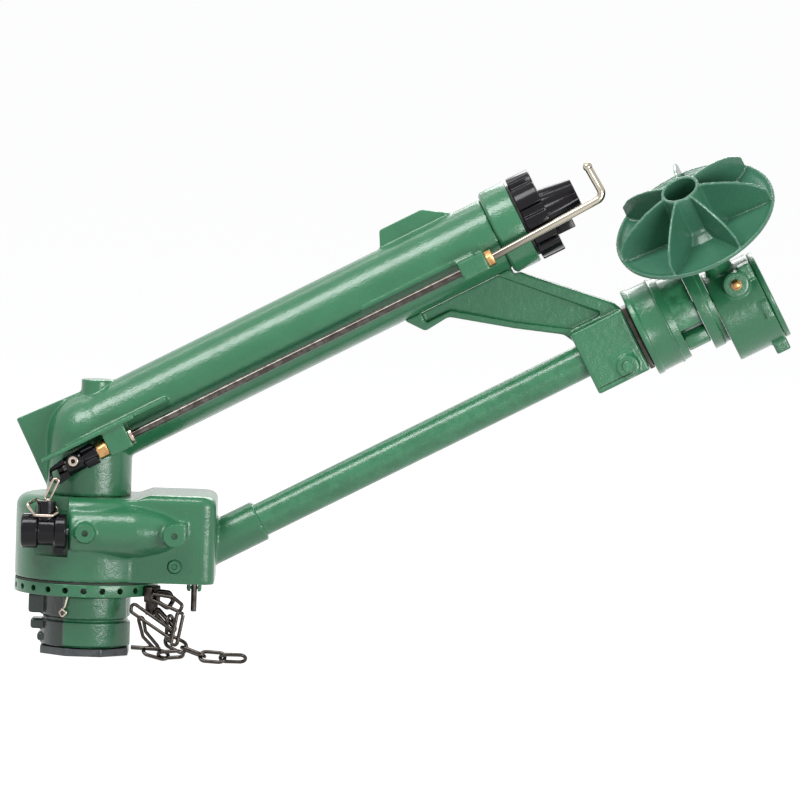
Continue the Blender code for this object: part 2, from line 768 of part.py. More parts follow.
sector_ring = piece(
    "sector_ring", pipe(SECTOR_RADIUS, SLEEVE_BORE, SECTOR_BOTTOM, SECTOR_TOP, 28), GREEN, swivel
)
hole_height = (SECTOR_BOTTOM + SECTOR_TOP) / 2
holes = bmesh.new()
for number in range(SECTOR_HOLES):
    turn = Matrix.Rotation(2 * pi * number / SECTOR_HOLES, 4, "Z") @ TO_X
    start = SECTOR_RADIUS - SECTOR_HOLE_DEPTH
    low = turn @ Vector((0, 0, 0)) + Vector((0, 0, hole_height))
    radius = SECTOR_HOLE_RADIUS
    outside = SECTOR_RADIUS + SECTOR_HOLE_RADIUS
    profile = [(0, start), (radius, start), (radius, outside), (0, outside)]
    lathe(profile, 8, turn, low, holes)
carve(sector_ring, tool("sector_holes", holes, swivel))

riser_foot = SLEEVE_BORE - FIT
riser_profile = [
    (WATER_BORE, sleeve_bottom),
    (riser_foot, sleeve_bottom),
    (riser_foot, SECTOR_TOP),
    (RISER_RADIUS, SECTOR_TOP),
    (RISER_RADIUS, RISER_TOP),
    (WATER_BORE, RISER_TOP),
]
piece("riser_tube", lathe(riser_profile, 24), BRONZE, swivel)
washer = pipe(WASHER_OUTER, WASHER_INNER, SECTOR_TOP + FIT, WASHER_TOP, 24)
piece("thrust_washer", washer, BRONZE, swivel)

wheel_low = WORM_Z - WORM_WHEEL_FACE / 2
wheel_high = WORM_Z + WORM_WHEEL_FACE / 2
lead_slope = WORM_LEAD / (2 * pi * WORM_RADIUS)
wheel_twist = lead_slope * WORM_WHEEL_FACE / 2 / WORM_WHEEL_RADIUS
half_tooth = pi / WHEEL_TEETH
down = -pi / 2 + half_tooth
wheel_ends = []
for twist in (-wheel_twist, wheel_twist):
    points = tooth_outline(
        WHEEL_TEETH, WORM_WHEEL_RADIUS, WHEEL_ADDENDUM, WORM_DEDENDUM, 0.52, 0.2, down + twist
    )
    wheel_ends.append(points)
wheel_teeth = prism(wheel_ends[0], wheel_low, wheel_high, top=wheel_ends[1])
worm_wheel = piece("worm_wheel", wheel_teeth, BRONZE, swivel)
wheel_bore = tool("worm_wheel_bore", cylinder(RISER_RADIUS + FIT, HOUSING_BOTTOM, HOUSING_TOP, 24), swivel)
carve(worm_wheel, wheel_bore)

# Gear housing: drum, box, worm bulge, bosses and spigot
drum_profile = [(0, HOUSING_BOTTOM), (DRUM_RADIUS, HOUSING_BOTTOM), (DRUM_RADIUS, HOUSING_TOP - DRUM_CORNER)]
for step in range(1, 4):
    angle = step * pi / 6
    across = DRUM_RADIUS - DRUM_CORNER + DRUM_CORNER * cos(angle)
    drum_profile.append((across, HOUSING_TOP - DRUM_CORNER + DRUM_CORNER * sin(angle)))
drum_profile.append((0, HOUSING_TOP))
housing = piece("gear_housing", lathe(drum_profile, 32), GREEN, swivel)
box_outline = [
    (BOX_LEFT, HOUSING_BOTTOM),
    (BOX_RIGHT - BOX_CORNER / 6, HOUSING_BOTTOM),
    (BOX_RIGHT, HOUSING_BOTTOM + BOX_CORNER / 2),
    (BOX_RIGHT, BOX_TOP - BOX_CORNER),
    (BOX_RIGHT - BOX_CORNER / 4, BOX_TOP - 0.4 * BOX_CORNER),
    (BOX_RIGHT - BOX_CORNER, BOX_TOP),
    (BOX_LEFT + 2 * BOX_CORNER, BOX_TOP),
    (BOX_LEFT + BOX_CORNER, HOUSING_TOP - ROOT),
    (BOX_LEFT, HOUSING_TOP - ROOT),
]
box = tool("housing_box", slab(box_outline, BOX_FRONT), swivel)
bulge = cylinder(BULGE_RADIUS, BULGE_LEFT, BULGE_RIGHT, 24, TO_X, (0, WORM_Y, WORM_Z))
bulge = tool("housing_bulge", bulge, swivel)
right_boss = cylinder(RIGHT_BOSS_RADIUS, -WORM_Y, RIGHT_BOSS_REACH, 18, TO_FRONT, (CROSS_X, 0, WORM_Z))
right_boss = tool("right_boss", right_boss, swivel)
left_boss = cylinder(LEFT_BOSS_RADIUS, -WORM_Y, LEFT_BOSS_REACH, 18, TO_FRONT, (0, 0, WORM_Z))
left_boss = tool("left_boss", left_boss, swivel)
spigot = tool("spigot", cylinder(SPIGOT_RADIUS, SPIGOT_END / 2, SPIGOT_END, 18, TO_X), tube)
unite(housing, box, bulge, right_boss, left_boss, spigot)

pocket_back = ROCKER_Y + ROCKER_RADIUS + POCKET_GAP
far_left = -DRUM_RADIUS - HOUSING_WALL
far_front = ROCKER_Y - 2 * ROCKER_RADIUS
pocket_x = (far_left, BULGE_LEFT + FIT)
pocket = block(pocket_x, (far_front, pocket_back), (WORM_Z - POCKET_DROP, RISER_TOP))
pocket = tool("rocker_pocket", pocket, swivel)
keep_x = (far_left, BULGE_LEFT + POCKET_WALL + FIT)
keep = block(keep_x, (far_front, pocket_back + BUSH_WALL), (SECTOR_BOTTOM, RISER_TOP))
keep = tool("pocket_wall", keep, swivel)
inside_top = HOUSING_TOP - HOUSING_WALL
drum_inside = cylinder(DRUM_RADIUS - HOUSING_WALL, SECTOR_BOTTOM, inside_top, 28)
drum_inside = tool("drum_inside", drum_inside, swivel)
carve(drum_inside, keep)
box_inside_top = BOX_TOP - HOUSING_WALL
front_room = block(
    (BOX_LEFT, BOX_RIGHT - HOUSING_WALL), (-BOX_INSIDE, MID_WALL_FRONT), (SECTOR_BOTTOM, box_inside_top)
)
front_room = tool("front_room", front_room, swivel)
rear_room = block(
    (BOX_LEFT, BOX_RIGHT - HOUSING_WALL), (MID_WALL_REAR, BOX_INSIDE), (SECTOR_BOTTOM, box_inside_top)
)
rear_room = tool("rear_room", rear_room, swivel)
bulge_room = cylinder(
    BULGE_RADIUS - BULGE_WALL, BULGE_LEFT + BULGE_WALL, BULGE_RIGHT - 2 * ROOT, 18, TO_X, (0, WORM_Y, WORM_Z)
)
bulge_room = tool("bulge_room", bulge_room, swivel)
bevel_front = -WORM_Y - (BEVEL_RADIUS - BEVEL_FACE) + BEVEL_ADDENDUM
bevel_reach = BEVEL_RADIUS + 2 * BEVEL_ADDENDUM
bevel_room = cylinder(bevel_reach, -SPUR_FRONT, bevel_front, 18, TO_FRONT, (CROSS_X, 0, WORM_Z))
bevel_room = tool("bevel_room", bevel_room, swivel)
bush_outer = CROSS_SHAFT_RADIUS + BUSH_WALL
upper_end = RIGHT_BOSS_REACH - POCKET_WALL
bore_back = -MID_WALL_REAR / 2
front_bore = cylinder(
    CROSS_SHAFT_RADIUS + FIT, bore_back, upper_end + FIT, 14, TO_FRONT, (CROSS_X, 0, WORM_Z)
)
front_bore = tool("upper_cross_bore", front_bore, swivel)
low_bore = cylinder(CROSS_SHAFT_RADIUS + FIT, bore_back, BOX_INSIDE, 14, TO_FRONT, (CROSS_X, 0, CROSS_Z))
low_bore = tool("lower_cross_bore", low_bore, swivel)
plug_start = BOX_INSIDE - BUSH_WALL
plug_bore = cylinder(bush_outer + FIT, plug_start, -far_front, 18, TO_FRONT, (CROSS_X, 0, CROSS_Z))
plug_bore = tool("plug_bore", plug_bore, swivel)
worm_bore = cylinder(CROSS_SHAFT_RADIUS + FIT, 2 * BULGE_LEFT, 0, 18, TO_X, (0, WORM_Y, WORM_Z))
worm_bore = tool("worm_bore", worm_bore, swivel)
oil_start = LEFT_BOSS_REACH - OIL_HOLE_DEPTH
oil_hole = cylinder(OIL_HOLE_RADIUS, oil_start, -far_front, 16, TO_FRONT, (0, 0, WORM_Z))
oil_hole = tool("oil_hole", oil_hole, swivel)
bush_radius = RISER_RADIUS + HOUSING_BUSH_WALL
top_bore = cylinder(bush_radius + FIT, inside_top - HOUSING_WALL, RISER_TOP, 24)
top_bore = tool("housing_top_bore", top_bore, swivel)
spigot_bore = cylinder(TUBE_RADIUS + FIT, TUBE_START, 2 * SPIGOT_END, 18, TO_X)
spigot_bore = tool("spigot_bore", spigot_bore, tube)
shaft_bore = cylinder(SHAFT_ROOM_RADIUS, CROSS_AT + BEVEL_FACE, 2 * SPIGOT_END, 18, TO_X)
shaft_bore = tool("shaft_bore", shaft_bore, tube)
pin_bore = cylinder(ROCKER_PIN_RADIUS + FIT, 2 * BULGE_LEFT, 0, 16, TO_X, (0, ROCKER_Y, WORM_Z))
pin_bore = tool("rocker_pin_bore", pin_bore, swivel)
carve(housing, drum_inside, front_room, rear_room, bulge_room, pocket, front_bore, low_bore)
carve(housing, bevel_room, plug_bore, worm_bore, oil_hole, top_bore, spigot_bore, shaft_bore, pin_bore)

cover_low = HOUSING_BOTTOM
cover_high = HOUSING_BOTTOM + COVER_THICKNESS
cover_gap = HOUSING_WALL + FIT
cover = piece("bottom_cover", cylinder(DRUM_RADIUS - cover_gap, cover_low, cover_high, 28), GREEN, swivel)
cover_box = block(
    (BOX_LEFT - BOX_CORNER, BOX_RIGHT - cover_gap),
    (-BOX_INSIDE + FIT, BOX_INSIDE - FIT),
    (cover_low, cover_high),
)
unite(cover, tool("cover_box", cover_box, swivel))
cut_levels = (SECTOR_BOTTOM, cover_high + COVER_THICKNESS)
cover_hole = tool("cover_hole", cylinder(riser_foot + ROOT, *cut_levels, 24), swivel)
cover_x = (far_left, BULGE_LEFT + POCKET_WALL + 2 * ROOT)
cover_cut = block(cover_x, (far_front, pocket_back + BUSH_WALL + 2 * FIT), cut_levels)
slot_y = (MID_WALL_FRONT - FIT, MID_WALL_REAR + FIT)
mid_slot = block((BOX_LEFT, BOX_RIGHT + HOUSING_WALL), slot_y, cut_levels)
carve(cover, cover_hole, tool("cover_cut", cover_cut, swivel), tool("mid_wall_slot", mid_slot, swivel))

housing_bush = pipe(bush_radius, RISER_RADIUS + FIT, inside_top, HOUSING_TOP, 24)
piece("housing_bush", housing_bush, BRONZE, swivel)
low_plug = lathe(
    [
        (0, BOX_INSIDE),
        (bush_outer, BOX_INSIDE),
        (bush_outer, BOX_FRONT),
        (bush_outer - PLUG_PROUD, BOX_FRONT + PLUG_PROUD),
        (2 * PLUG_PROUD, BOX_FRONT + PLUG_PROUD),
        (2 * PLUG_PROUD, BOX_FRONT + PLUG_PROUD / 3),
        (0, BOX_FRONT + PLUG_PROUD / 3),
    ],
    24,
    TO_FRONT,
    LOWER_CROSS,
)
piece("round_plug", low_plug, GREEN, swivel)

# Worm shaft
core = WORM_RADIUS - WORM_DEDENDUM
crest = WORM_RADIUS + WORM_ADDENDUM
worm_left = BULGE_LEFT + FIT
worm_end = CROSS_X - BEVEL_RADIUS
worm_profile = [
    (0, worm_left),
    (CROSS_SHAFT_RADIUS, worm_left),
    (CROSS_SHAFT_RADIUS, -WORM_HALF_LENGTH - ROOT),
    (core, -WORM_HALF_LENGTH - ROOT),
    (core, WORM_HALF_LENGTH + 2 * ROOT),
    (SHAFT_RADIUS, WORM_HALF_LENGTH + 2 * ROOT),
    (SHAFT_RADIUS, worm_end),
    (0, worm_end),
]
worm_shaft = piece("worm_shaft", lathe(worm_profile, 18, TO_X), STEEL, worm)
thread = bmesh.new()
steps_per_turn = 12
turns = 2 * WORM_HALF_LENGTH / WORM_LEAD
count = int(turns * steps_per_turn) + 1
rings = []
for number in range(count):
    angle = 2 * pi * turns * (number / (count - 1) - 0.5)
    middle = WORM_LEAD * angle / (2 * pi)
    ring = []
    rising = ((-THREAD_ROOT, core - FIT), (-THREAD_TIP, crest))
    for side, radius in (*rising, (THREAD_TIP, crest), (THREAD_ROOT, core - FIT)):
        ring.append(thread.verts.new((middle + side, radius * cos(angle), radius * sin(angle))))
    rings.append(ring)
for low, high in zip(rings, rings[1:]):
    for k in range(4):
        thread.faces.new([low[k], low[(k + 1) % 4], high[(k + 1) % 4], high[k]])
thread.faces.new(rings[0])
thread.faces.new(list(reversed(rings[-1])))
worm_bevel_axis = frame("worm_bevel_axis", (CROSS_X, WORM_Y, WORM_Z), (0, 1, 0), (-1, 0, 0))
worm_bevel = bevel_gear("worm_bevel", worm_bevel_axis, BEVEL_RADIUS + BEVEL_HUB_LENGTH)
worm_bevel.hide_render = True
worm_bevel.display_type = "WIRE"
unite(worm_shaft, tool("worm_thread", thread, worm), worm_bevel)

# Upper cross shaft: bevel at the front, wheel behind it
cross_profile = [
    (0, -MID_WALL_REAR + FIT),
    (CROSS_SHAFT_RADIUS, -MID_WALL_REAR + FIT),
    (CROSS_SHAFT_RADIUS, upper_end),
    (0, upper_end),
]
upper_shaft = piece("upper_cross_shaft", lathe(cross_profile, 14, TO_FRONT), STEEL, upper_cross)
upper_bevel_axis = frame("upper_bevel_axis", (CROSS_X, WORM_Y, WORM_Z), (-1, 0, 0), (0, 1, 0))
upper_bevel = bevel_gear("upper_bevel", upper_bevel_axis, BEVEL_RADIUS + BEVEL_HUB_LENGTH, True)
upper_bevel.hide_render = True
upper_bevel.display_type = "WIRE"
spur_radius = SPUR_MODULE * SPUR_TEETH / 2
spur_outline = tooth_outline(SPUR_TEETH, spur_radius, SPUR_ADDENDUM, SPUR_DEDENDUM, phase=-pi / 2)
spur = prism(spur_outline, -SPUR_REAR, -SPUR_FRONT, TO_FRONT)
unite(upper_shaft, upper_bevel, tool("spur_wheel", spur, upper_cross))

# Lower cross shaft: pinion at the front, bevel on the drive shaft's side
low_profile = [
    (0, BEVEL_RADIUS - ROOT),
    (CROSS_SHAFT_RADIUS, BEVEL_RADIUS - ROOT),
    (CROSS_SHAFT_RADIUS, BOX_INSIDE - FIT),
    (0, BOX_INSIDE - FIT),
]
lower_shaft = piece("lower_cross_shaft", lathe(low_profile, 14, TO_FRONT), STEEL, lower_cross)
lower_bevel_axis = frame("lower_bevel_axis", LOWER_CROSS, ALONG, (0, -1, 0))
lower_hub = -MID_WALL_REAR - BEVEL_RADIUS - 2 * FIT
lower_bevel = bevel_gear(
    "lower_bevel", lower_bevel_axis, BEVEL_RADIUS + lower_hub, hub_length=lower_hub
)
lower_bevel.hide_render = True
lower_bevel.display_type = "WIRE"
half_pinion = pi / PINION_TEETH
pinion_outline = tooth_outline(
    PINION_TEETH,
    SPUR_MODULE * PINION_TEETH / 2,
    SPUR_ADDENDUM,
    SPUR_DEDENDUM,
    0.52,
    0.2,
    pi / 2 + half_pinion,
)
pinion = prism(pinion_outline, -SPUR_REAR, -SPUR_FRONT, TO_FRONT)
unite(lower_shaft, lower_bevel, tool("pinion", pinion, lower_cross))

# Drive shaft in the tube, with a bevel at each end
drive_length = TURBINE_AT - CROSS_AT
drive_low = frame("drive_low_axis", LOWER_CROSS, (0, -1, 0), ALONG)
drive_shaft = bevel_gear("drive_shaft", drive_low, drive_length - BEVEL_RADIUS - ROOT, True)
drive_high = frame("drive_high_axis", apex, lean, -ALONG)
drive_bevel = bevel_gear("drive_bevel", drive_high, BEVEL_RADIUS + 2 * BEVEL_HUB_LENGTH)
drive_bevel.hide_render = True
drive_bevel.display_type = "WIRE"
unite(drive_shaft, drive_bevel)

tube_end = NECK_START - TUBE_END_GAP
piece("drive_tube", pipe(TUBE_RADIUS, TUBE_BORE, TUBE_START + FIT, tube_end, 22, TO_X), GREEN, tube)
upper_bearing = tube_end - BEARING_LENGTH - TUBE_END_GAP
for label, start in (("lower", TUBE_START + BEARING_INSET), ("upper", upper_bearing)):
    bearing = pipe(TUBE_BORE - FIT, SHAFT_RADIUS + FIT, start, start + BEARING_LENGTH, 16, TO_X)
    piece(f"{label}_tube_bearing", bearing, BRONZE, tube)

# Elbow and barrel casting
elbow_bottom = HOUSING_TOP + FIT
elbow_middle = ELBOW_HEIGHT - ELBOW_DROP


def capsule(radius, bottom, sides):
    """A cylinder on the swivel axis with a round top at the elbow."""
    profile = [(0, bottom), (radius, bottom)]
    for step in range(0, 7):
        angle = step * pi / 14
        profile.append((radius * cos(angle), elbow_middle + radius * sin(angle)))
    profile.append((0, elbow_middle + radius))
    return lathe(profile, sides)


elbow = piece("barrel_casting", capsule(ELBOW_RADIUS, elbow_bottom, 28), GREEN, swivel)
barrel_solid = tool("barrel_solid", cylinder(BARREL_RADIUS, 0, BARREL_LENGTH, 28, TO_X), barrel)
rear_fin = tool("rear_fin", slab(REAR_FIN_OUTLINE, REAR_FIN_THICKNESS / 2), barrel)
fin_top = BARREL_RADIUS + TOP_FIN_HEIGHT
top_outline = [
    (TOP_FIN_START, BARREL_RADIUS - 4 * ROOT),
    (TOP_FIN_END, BARREL_RADIUS - 4 * ROOT),
    (TOP_FIN_END - TOP_FIN_FRONT_SLOPE, fin_top),
    (TOP_FIN_START + TOP_FIN_REAR_SLOPE, fin_top),
]
top_fin = tool("top_fin", slab(top_outline, TOP_FIN_THICKNESS / 2), barrel)
shelf = block(
    (SHELF_START, SHELF_END), (-SHELF_REACH, -ELBOW_BORE - ROOT), (-SHELF_THICKNESS / 2, SHELF_THICKNESS / 2)
)
shelf = tool("shelf", shelf, barrel)
ledge_z = (-LEDGE_DROP - LEDGE_THICKNESS, -LEDGE_DROP)
ledge = block((LEDGE_START, LEDGE_END), (-LEDGE_REACH, -BARREL_BORE - ROOT), ledge_z)
ledge = tool("ledge", ledge, barrel)
plug_foot = elbow_middle + PLUG_BOSS_RADIUS
plug_boss = cylinder(PLUG_BOSS_RADIUS, plug_foot, PLUG_BOSS_TOP, 16, Matrix(), (PLUG_BOSS_X, 0, 0))
plug_boss = tool("plug_boss", plug_boss, swivel)
block_y = (-ROD_SIDE - ROD_BLOCK_COVER, -BARREL_BORE - 2 * ROOT)
low_block = block((LOW_BLOCK_START, LOW_BLOCK_END), block_y, (-ROD_DROP - LOW_BLOCK_BELOW, LOW_BLOCK_TOP))
low_block = tool("low_rod_block", low_block, barrel)
high_z = (-ROD_DROP - HIGH_BLOCK_HALF, -ROD_DROP + HIGH_BLOCK_HALF)
high_block = block((HIGH_BLOCK_START, HIGH_BLOCK_END), block_y, high_z)
high_block = tool("high_rod_block", high_block, barrel)
unite(elbow, barrel_solid, rear_fin, top_fin, plug_boss, low_block, high_block, shelf, ledge)
elbow_hollow = tool("elbow_hollow", capsule(ELBOW_BORE, HOUSING_BOTTOM, 24), swivel)
barrel_hollow = tool("barrel_hollow", cylinder(BARREL_BORE, 0, NOZZLE_START, 24, TO_X), barrel)
rod_hole = tool("rod_hole", cylinder(ROD_RADIUS + FIT, 0, BARREL_LENGTH, 16, TO_X), rod)
carve(elbow, elbow_hollow, barrel_hollow, rod_hole)
seal_low = HOUSING_TOP + SEAL_RISE
seal = pipe(ELBOW_BORE - FIT, RISER_RADIUS + FIT, seal_low, seal_low + SEAL_HEIGHT, 24)
piece("riser_seal", seal, RUBBER, swivel)

# End ring, gasket, nozzle nut and nozzle
ring_profile = [
    (BARREL_BORE, BARREL_LENGTH + FIT),
    (END_RING_RADIUS - END_RING_CHAMFER, BARREL_LENGTH + FIT),
    (END_RING_RADIUS, BARREL_LENGTH + END_RING_CHAMFER),
    (END_RING_RADIUS, BARREL_LENGTH + END_RING_LENGTH - END_RING_CHAMFER / 2),
    (END_RING_RADIUS - END_RING_CHAMFER / 2, BARREL_LENGTH + END_RING_LENGTH),
    (BARREL_BORE, BARREL_LENGTH + END_RING_LENGTH),
]
piece("barrel_ring", lathe(ring_profile, 28, TO_X), GREEN, barrel)
gasket = pipe(BARREL_RADIUS, GASKET_BORE, NUT_START - GASKET_LENGTH + FIT, NUT_START - FIT, 24, TO_X)
piece("nozzle_gasket", gasket, RUBBER, barrel)
nut_points = []
nut_steps = ((-0.27, 0), (0, NUT_CROWN), (0.27, 0), (0.30, -NUT_GROOVE), (0.48, -NUT_GROOVE))
for number in range(NUT_LUGS):
    middle = 2 * pi * number / NUT_LUGS + NUT_PHASE
    for offset, rise in nut_steps:
        radius = NUT_RADIUS + rise
        nut_points.append((radius * cos(middle + offset), radius * sin(middle + offset)))
nozzle_nut = piece("nozzle_nut", prism(nut_points, NUT_START, NOZZLE_START, TO_X), BLACK, barrel)
nut_bore = cylinder(NUT_BORE, BARREL_LENGTH, NOZZLE_START + NUT_LENGTH, 18, TO_X)
carve(nozzle_nut, tool("nut_bore", nut_bore, barrel))
nozzle_root_points = []
nozzle_tip_points = []
for number in range(NOZZLE_RIBS):
    middle = 2 * pi * number / NOZZLE_RIBS
    for offset, rise in ((-0.18, 0), (0.18, 0), (0.22, -NOZZLE_RIB_HEIGHT), (0.42, -NOZZLE_RIB_HEIGHT)):
        rings = ((nozzle_root_points, NOZZLE_ROOT_RADIUS), (nozzle_tip_points, NOZZLE_TIP_RADIUS))
        for points, outer in rings:
            radius = outer + rise
            points.append((radius * cos(middle + offset), radius * sin(middle + offset)))
nozzle_low = NOZZLE_START - NOZZLE_SEAT
nozzle_tip = NOZZLE_START + NOZZLE_LENGTH
nozzle_body = prism(nozzle_root_points, nozzle_low, nozzle_tip, TO_X, top=nozzle_tip_points)
nozzle = piece("nozzle", nozzle_body, BLACK, barrel)
nozzle_root = cylinder(NUT_BORE - FIT, NUT_START + FIT, nozzle_low + ROOT, 18, TO_X)
nozzle_root = tool("nozzle_root", nozzle_root, barrel)
lug_x = (NOZZLE_START, NOZZLE_START + NOZZLE_LUG_LENGTH)
nozzle_lug = block(lug_x, (-NOZZLE_LUG_HALF, NOZZLE_LUG_HALF), (-NOZZLE_LUG_REACH, -NOZZLE_BORE))
unite(nozzle, nozzle_root, tool("nozzle_lug", nozzle_lug, barrel))
cone_start = NUT_START + NOZZLE_SEAT
past_tip = nozzle_tip + NOZZLE_LENGTH
bore_profile = [
    (0, BARREL_LENGTH),
    (NOZZLE_ROOT_RADIUS, BARREL_LENGTH),
    (NOZZLE_ROOT_RADIUS, cone_start),
    (NOZZLE_BORE, NOZZLE_START + NOZZLE_CONE_LENGTH),
    (NOZZLE_BORE, past_tip),
    (0, past_tip),
]
carve(nozzle, tool("nozzle_bore", lathe(bore_profile, 18, TO_X), barrel))

# Arm from the barrel to the clamp on the drive tube
arm_top = CLAMP_TOP - TUBE_DROP
arm_bottom = -CLAMP_BOTTOM - TUBE_DROP


def arm_points(points):
    return [(BARREL_LENGTH + ahead, -share * TUBE_DROP) for ahead, share in points]


arm_outline = arm_points(ARM_LOW_EDGE)
arm_outline += [
    (CLAMP_START, -ARM_CLAMP_SHARE * TUBE_DROP),
    (CLAMP_START, arm_bottom),
    (CLAMP_END, arm_bottom),
    (CLAMP_END, arm_top),
    (CLAMP_END - ARM_SHOULDER[0], arm_top + ARM_SHOULDER[1]),
]
arm_outline += arm_points([ARM_TOP_START])
arm = piece("bracket_arm", slab(arm_outline, ARM_RIM / 2), GREEN, barrel)
clamp_block = block((CLAMP_START, CLAMP_END), (-CLAMP_HALF_WIDTH, CLAMP_HALF_WIDTH), (arm_bottom, arm_top))
clamp_block = tool("clamp_block", clamp_block, barrel)
bolt_place = (CLAMP_BOLT_AT, 0, -CLAMP_BOLT_DROP - TUBE_DROP)
bolt_boss = cylinder(CLAMP_BOSS_RADIUS, -CLAMP_BOSS_REACH, CLAMP_BOSS_REACH, 18, TO_FRONT, bolt_place)
bolt_boss = tool("clamp_bolt_boss", bolt_boss, barrel)
unite(arm, clamp_block, bolt_boss)
web_outline = arm_points(ARM_WEB_OUTLINE)
for label, side in (("front", -1), ("rear", 1)):
    web = slab(web_outline, ARM_RIM / 2, side * (ARM_WEB + ARM_RIM) / 2)
    carve(arm, tool(f"arm_web_{label}", web, barrel))
saddle = tool("arm_saddle", cylinder(BARREL_RADIUS + FIT, LEDGE_START, CLAMP_END, 28, TO_X), barrel)
ring_room = cylinder(END_RING_RADIUS + FIT, BARREL_LENGTH - FIT, NUT_START, 28, TO_X)
ring_room = tool("arm_ring_room", ring_room, barrel)
room_x = (HIGH_BLOCK_START - ROOT, HIGH_BLOCK_END + ROOT)
room_z = (-ROD_DROP - HIGH_BLOCK_HALF - ROOT - FIT, 0)
block_room = tool("rod_block_room", block(room_x, (-ROD_SIDE - ELBOW_RADIUS, -BARREL_BORE), room_z), barrel)
clamp_bore = cylinder(TUBE_RADIUS + FIT, HIGH_BLOCK_END, NECK_START, 22, TO_X)
clamp_bore = tool("clamp_bore", clamp_bore, tube)
past_boss = 2 * CLAMP_BOSS_REACH
bolt_hole = cylinder(CLAMP_BOLT_RADIUS + FIT, -past_boss, past_boss, 16, TO_FRONT, bolt_place)
carve(arm, saddle, ring_room, block_room, clamp_bore, tool("clamp_bolt_hole", bolt_hole, barrel))
bolt_seat = CLAMP_BOSS_REACH + FIT
bolt_profile = [
    (0, bolt_seat + CLAMP_BOLT_HEAD_HEIGHT),
    (CLAMP_BOLT_HEAD_RADIUS, bolt_seat + CLAMP_BOLT_HEAD_HEIGHT),
    (CLAMP_BOLT_HEAD_RADIUS, bolt_seat),
    (CLAMP_BOLT_RADIUS, bolt_seat),
    (CLAMP_BOLT_RADIUS, -bolt_seat),
    (CLAMP_NUT_RADIUS, -bolt_seat),
    (CLAMP_NUT_RADIUS, -bolt_seat - CLAMP_NUT_HEIGHT),
    (0, -bolt_seat - CLAMP_NUT_HEIGHT),
]
bolt = lathe(bolt_profile, 18, TO_FRONT, (CLAMP_BOLT_AT, 0, -CLAMP_BOLT_DROP))
piece("clamp_bolt", bolt, STEEL, tube)

# Spacer, flange, neck, plate and bolts of the gear head
spacer_x = (SPACER_START, SPACER_START + SPACER_THICKNESS)
spacer = block(spacer_x, (-SPACER_HALF_WIDTH, SPACER_HALF_WIDTH), (-CLAMP_BOTTOM, CLAMP_TOP))
spacer = piece("spacer_plate", spacer, DARK_STEEL, tube)
spacer_bore = cylinder(TUBE_RADIUS + FIT, CLAMP_START, NECK_START, 22, TO_X)
carve(spacer, tool("spacer_bore", spacer_bore, tube))
neck_end = CASE_PLATE_START - FIT
flange_profile = [
    (TUBE_RADIUS + FIT, FLANGE_START),
    (FLANGE_RADIUS - FLANGE_STEP / 2, FLANGE_START),
    (FLANGE_RADIUS, FLANGE_START + FLANGE_STEP / 2),
    (FLANGE_RADIUS, FLANGE_START + FLANGE_RIM),
    (FLANGE_RADIUS - FLANGE_STEP, FLANGE_START + FLANGE_RIM + FLANGE_STEP / 2),
    (FLANGE_RADIUS - FLANGE_STEP, FLANGE_START + FLANGE_SEAM - FLANGE_STEP),
    (FLANGE_RADIUS - FLANGE_STEP / 4, FLANGE_START + FLANGE_SEAM),
    (FLANGE_RADIUS - FLANGE_STEP, FLANGE_START + FLANGE_SEAM + FLANGE_STEP),
    (FLANGE_RADIUS - 1.5 * FLANGE_STEP, NECK_START),
    (NECK_RADIUS, NECK_START),
    (NECK_END_RADIUS, NECK_START + NECK_SLOPE),
    (NECK_END_RADIUS, neck_end),
    (NECK_BORE, neck_end),
    (NECK_BORE, NECK_START - FLANGE_FLOOR),
    (TUBE_RADIUS + FIT, NECK_START - FLANGE_FLOOR),
]
head_flange = piece("head_flange", lathe(flange_profile, 28, TO_X), GREEN, tube)
head_bolt_at = (NECK_RADIUS + HEAD_BOLT_RADIUS + FIT) * sin(pi / 4)
for label, side in (("front", -1), ("rear", 1)):
    outline = polygon(6, HEAD_BOLT_RADIUS, HEAD_BOLT_PHASE)
    nut = prism(outline, NECK_START + FIT, neck_end, TO_X, (0, side * head_bolt_at, -head_bolt_at))
    piece(f"head_bolt_{label}", nut, GREEN, tube)
case_plate = pipe(CASE_PLATE_RADIUS, SHAFT_RADIUS + FIT, CASE_PLATE_START, CASE_START - FIT, 32, TO_X)
piece("case_plate", case_plate, GREEN, tube)

# Gear case with the turbine neck, cap and screw
centre = (0, 0, -CASE_DROP)
case = piece("gear_case", cylinder(CASE_RADIUS, CASE_START, CASE_END, 28, TO_X, centre), GREEN, tube)
neck = cylinder(TURBINE_NECK_RADIUS, BEVEL_RADIUS + FLANGE_RIM, TURBINE_NECK_END, 18)
neck = tool("turbine_neck", neck, turbine)
screw_place = (TURBINE_AT + SCREW_AHEAD, 0, SCREW_RISE)
screw_boss = cylinder(SCREW_BOSS_RADIUS, CASE_DROP, SCREW_BOSS_REACH, 16, TO_FRONT, screw_place)
screw_boss = tool("screw_boss", screw_boss, tube)


def case_block(size, back, front, low):
    """A block that ends at back before the cap, with its front and its foot at front and low."""
    end = CASE_END - back
    return block((end - size[0], end), (front, front + size[1]), (low, low + size[2]))


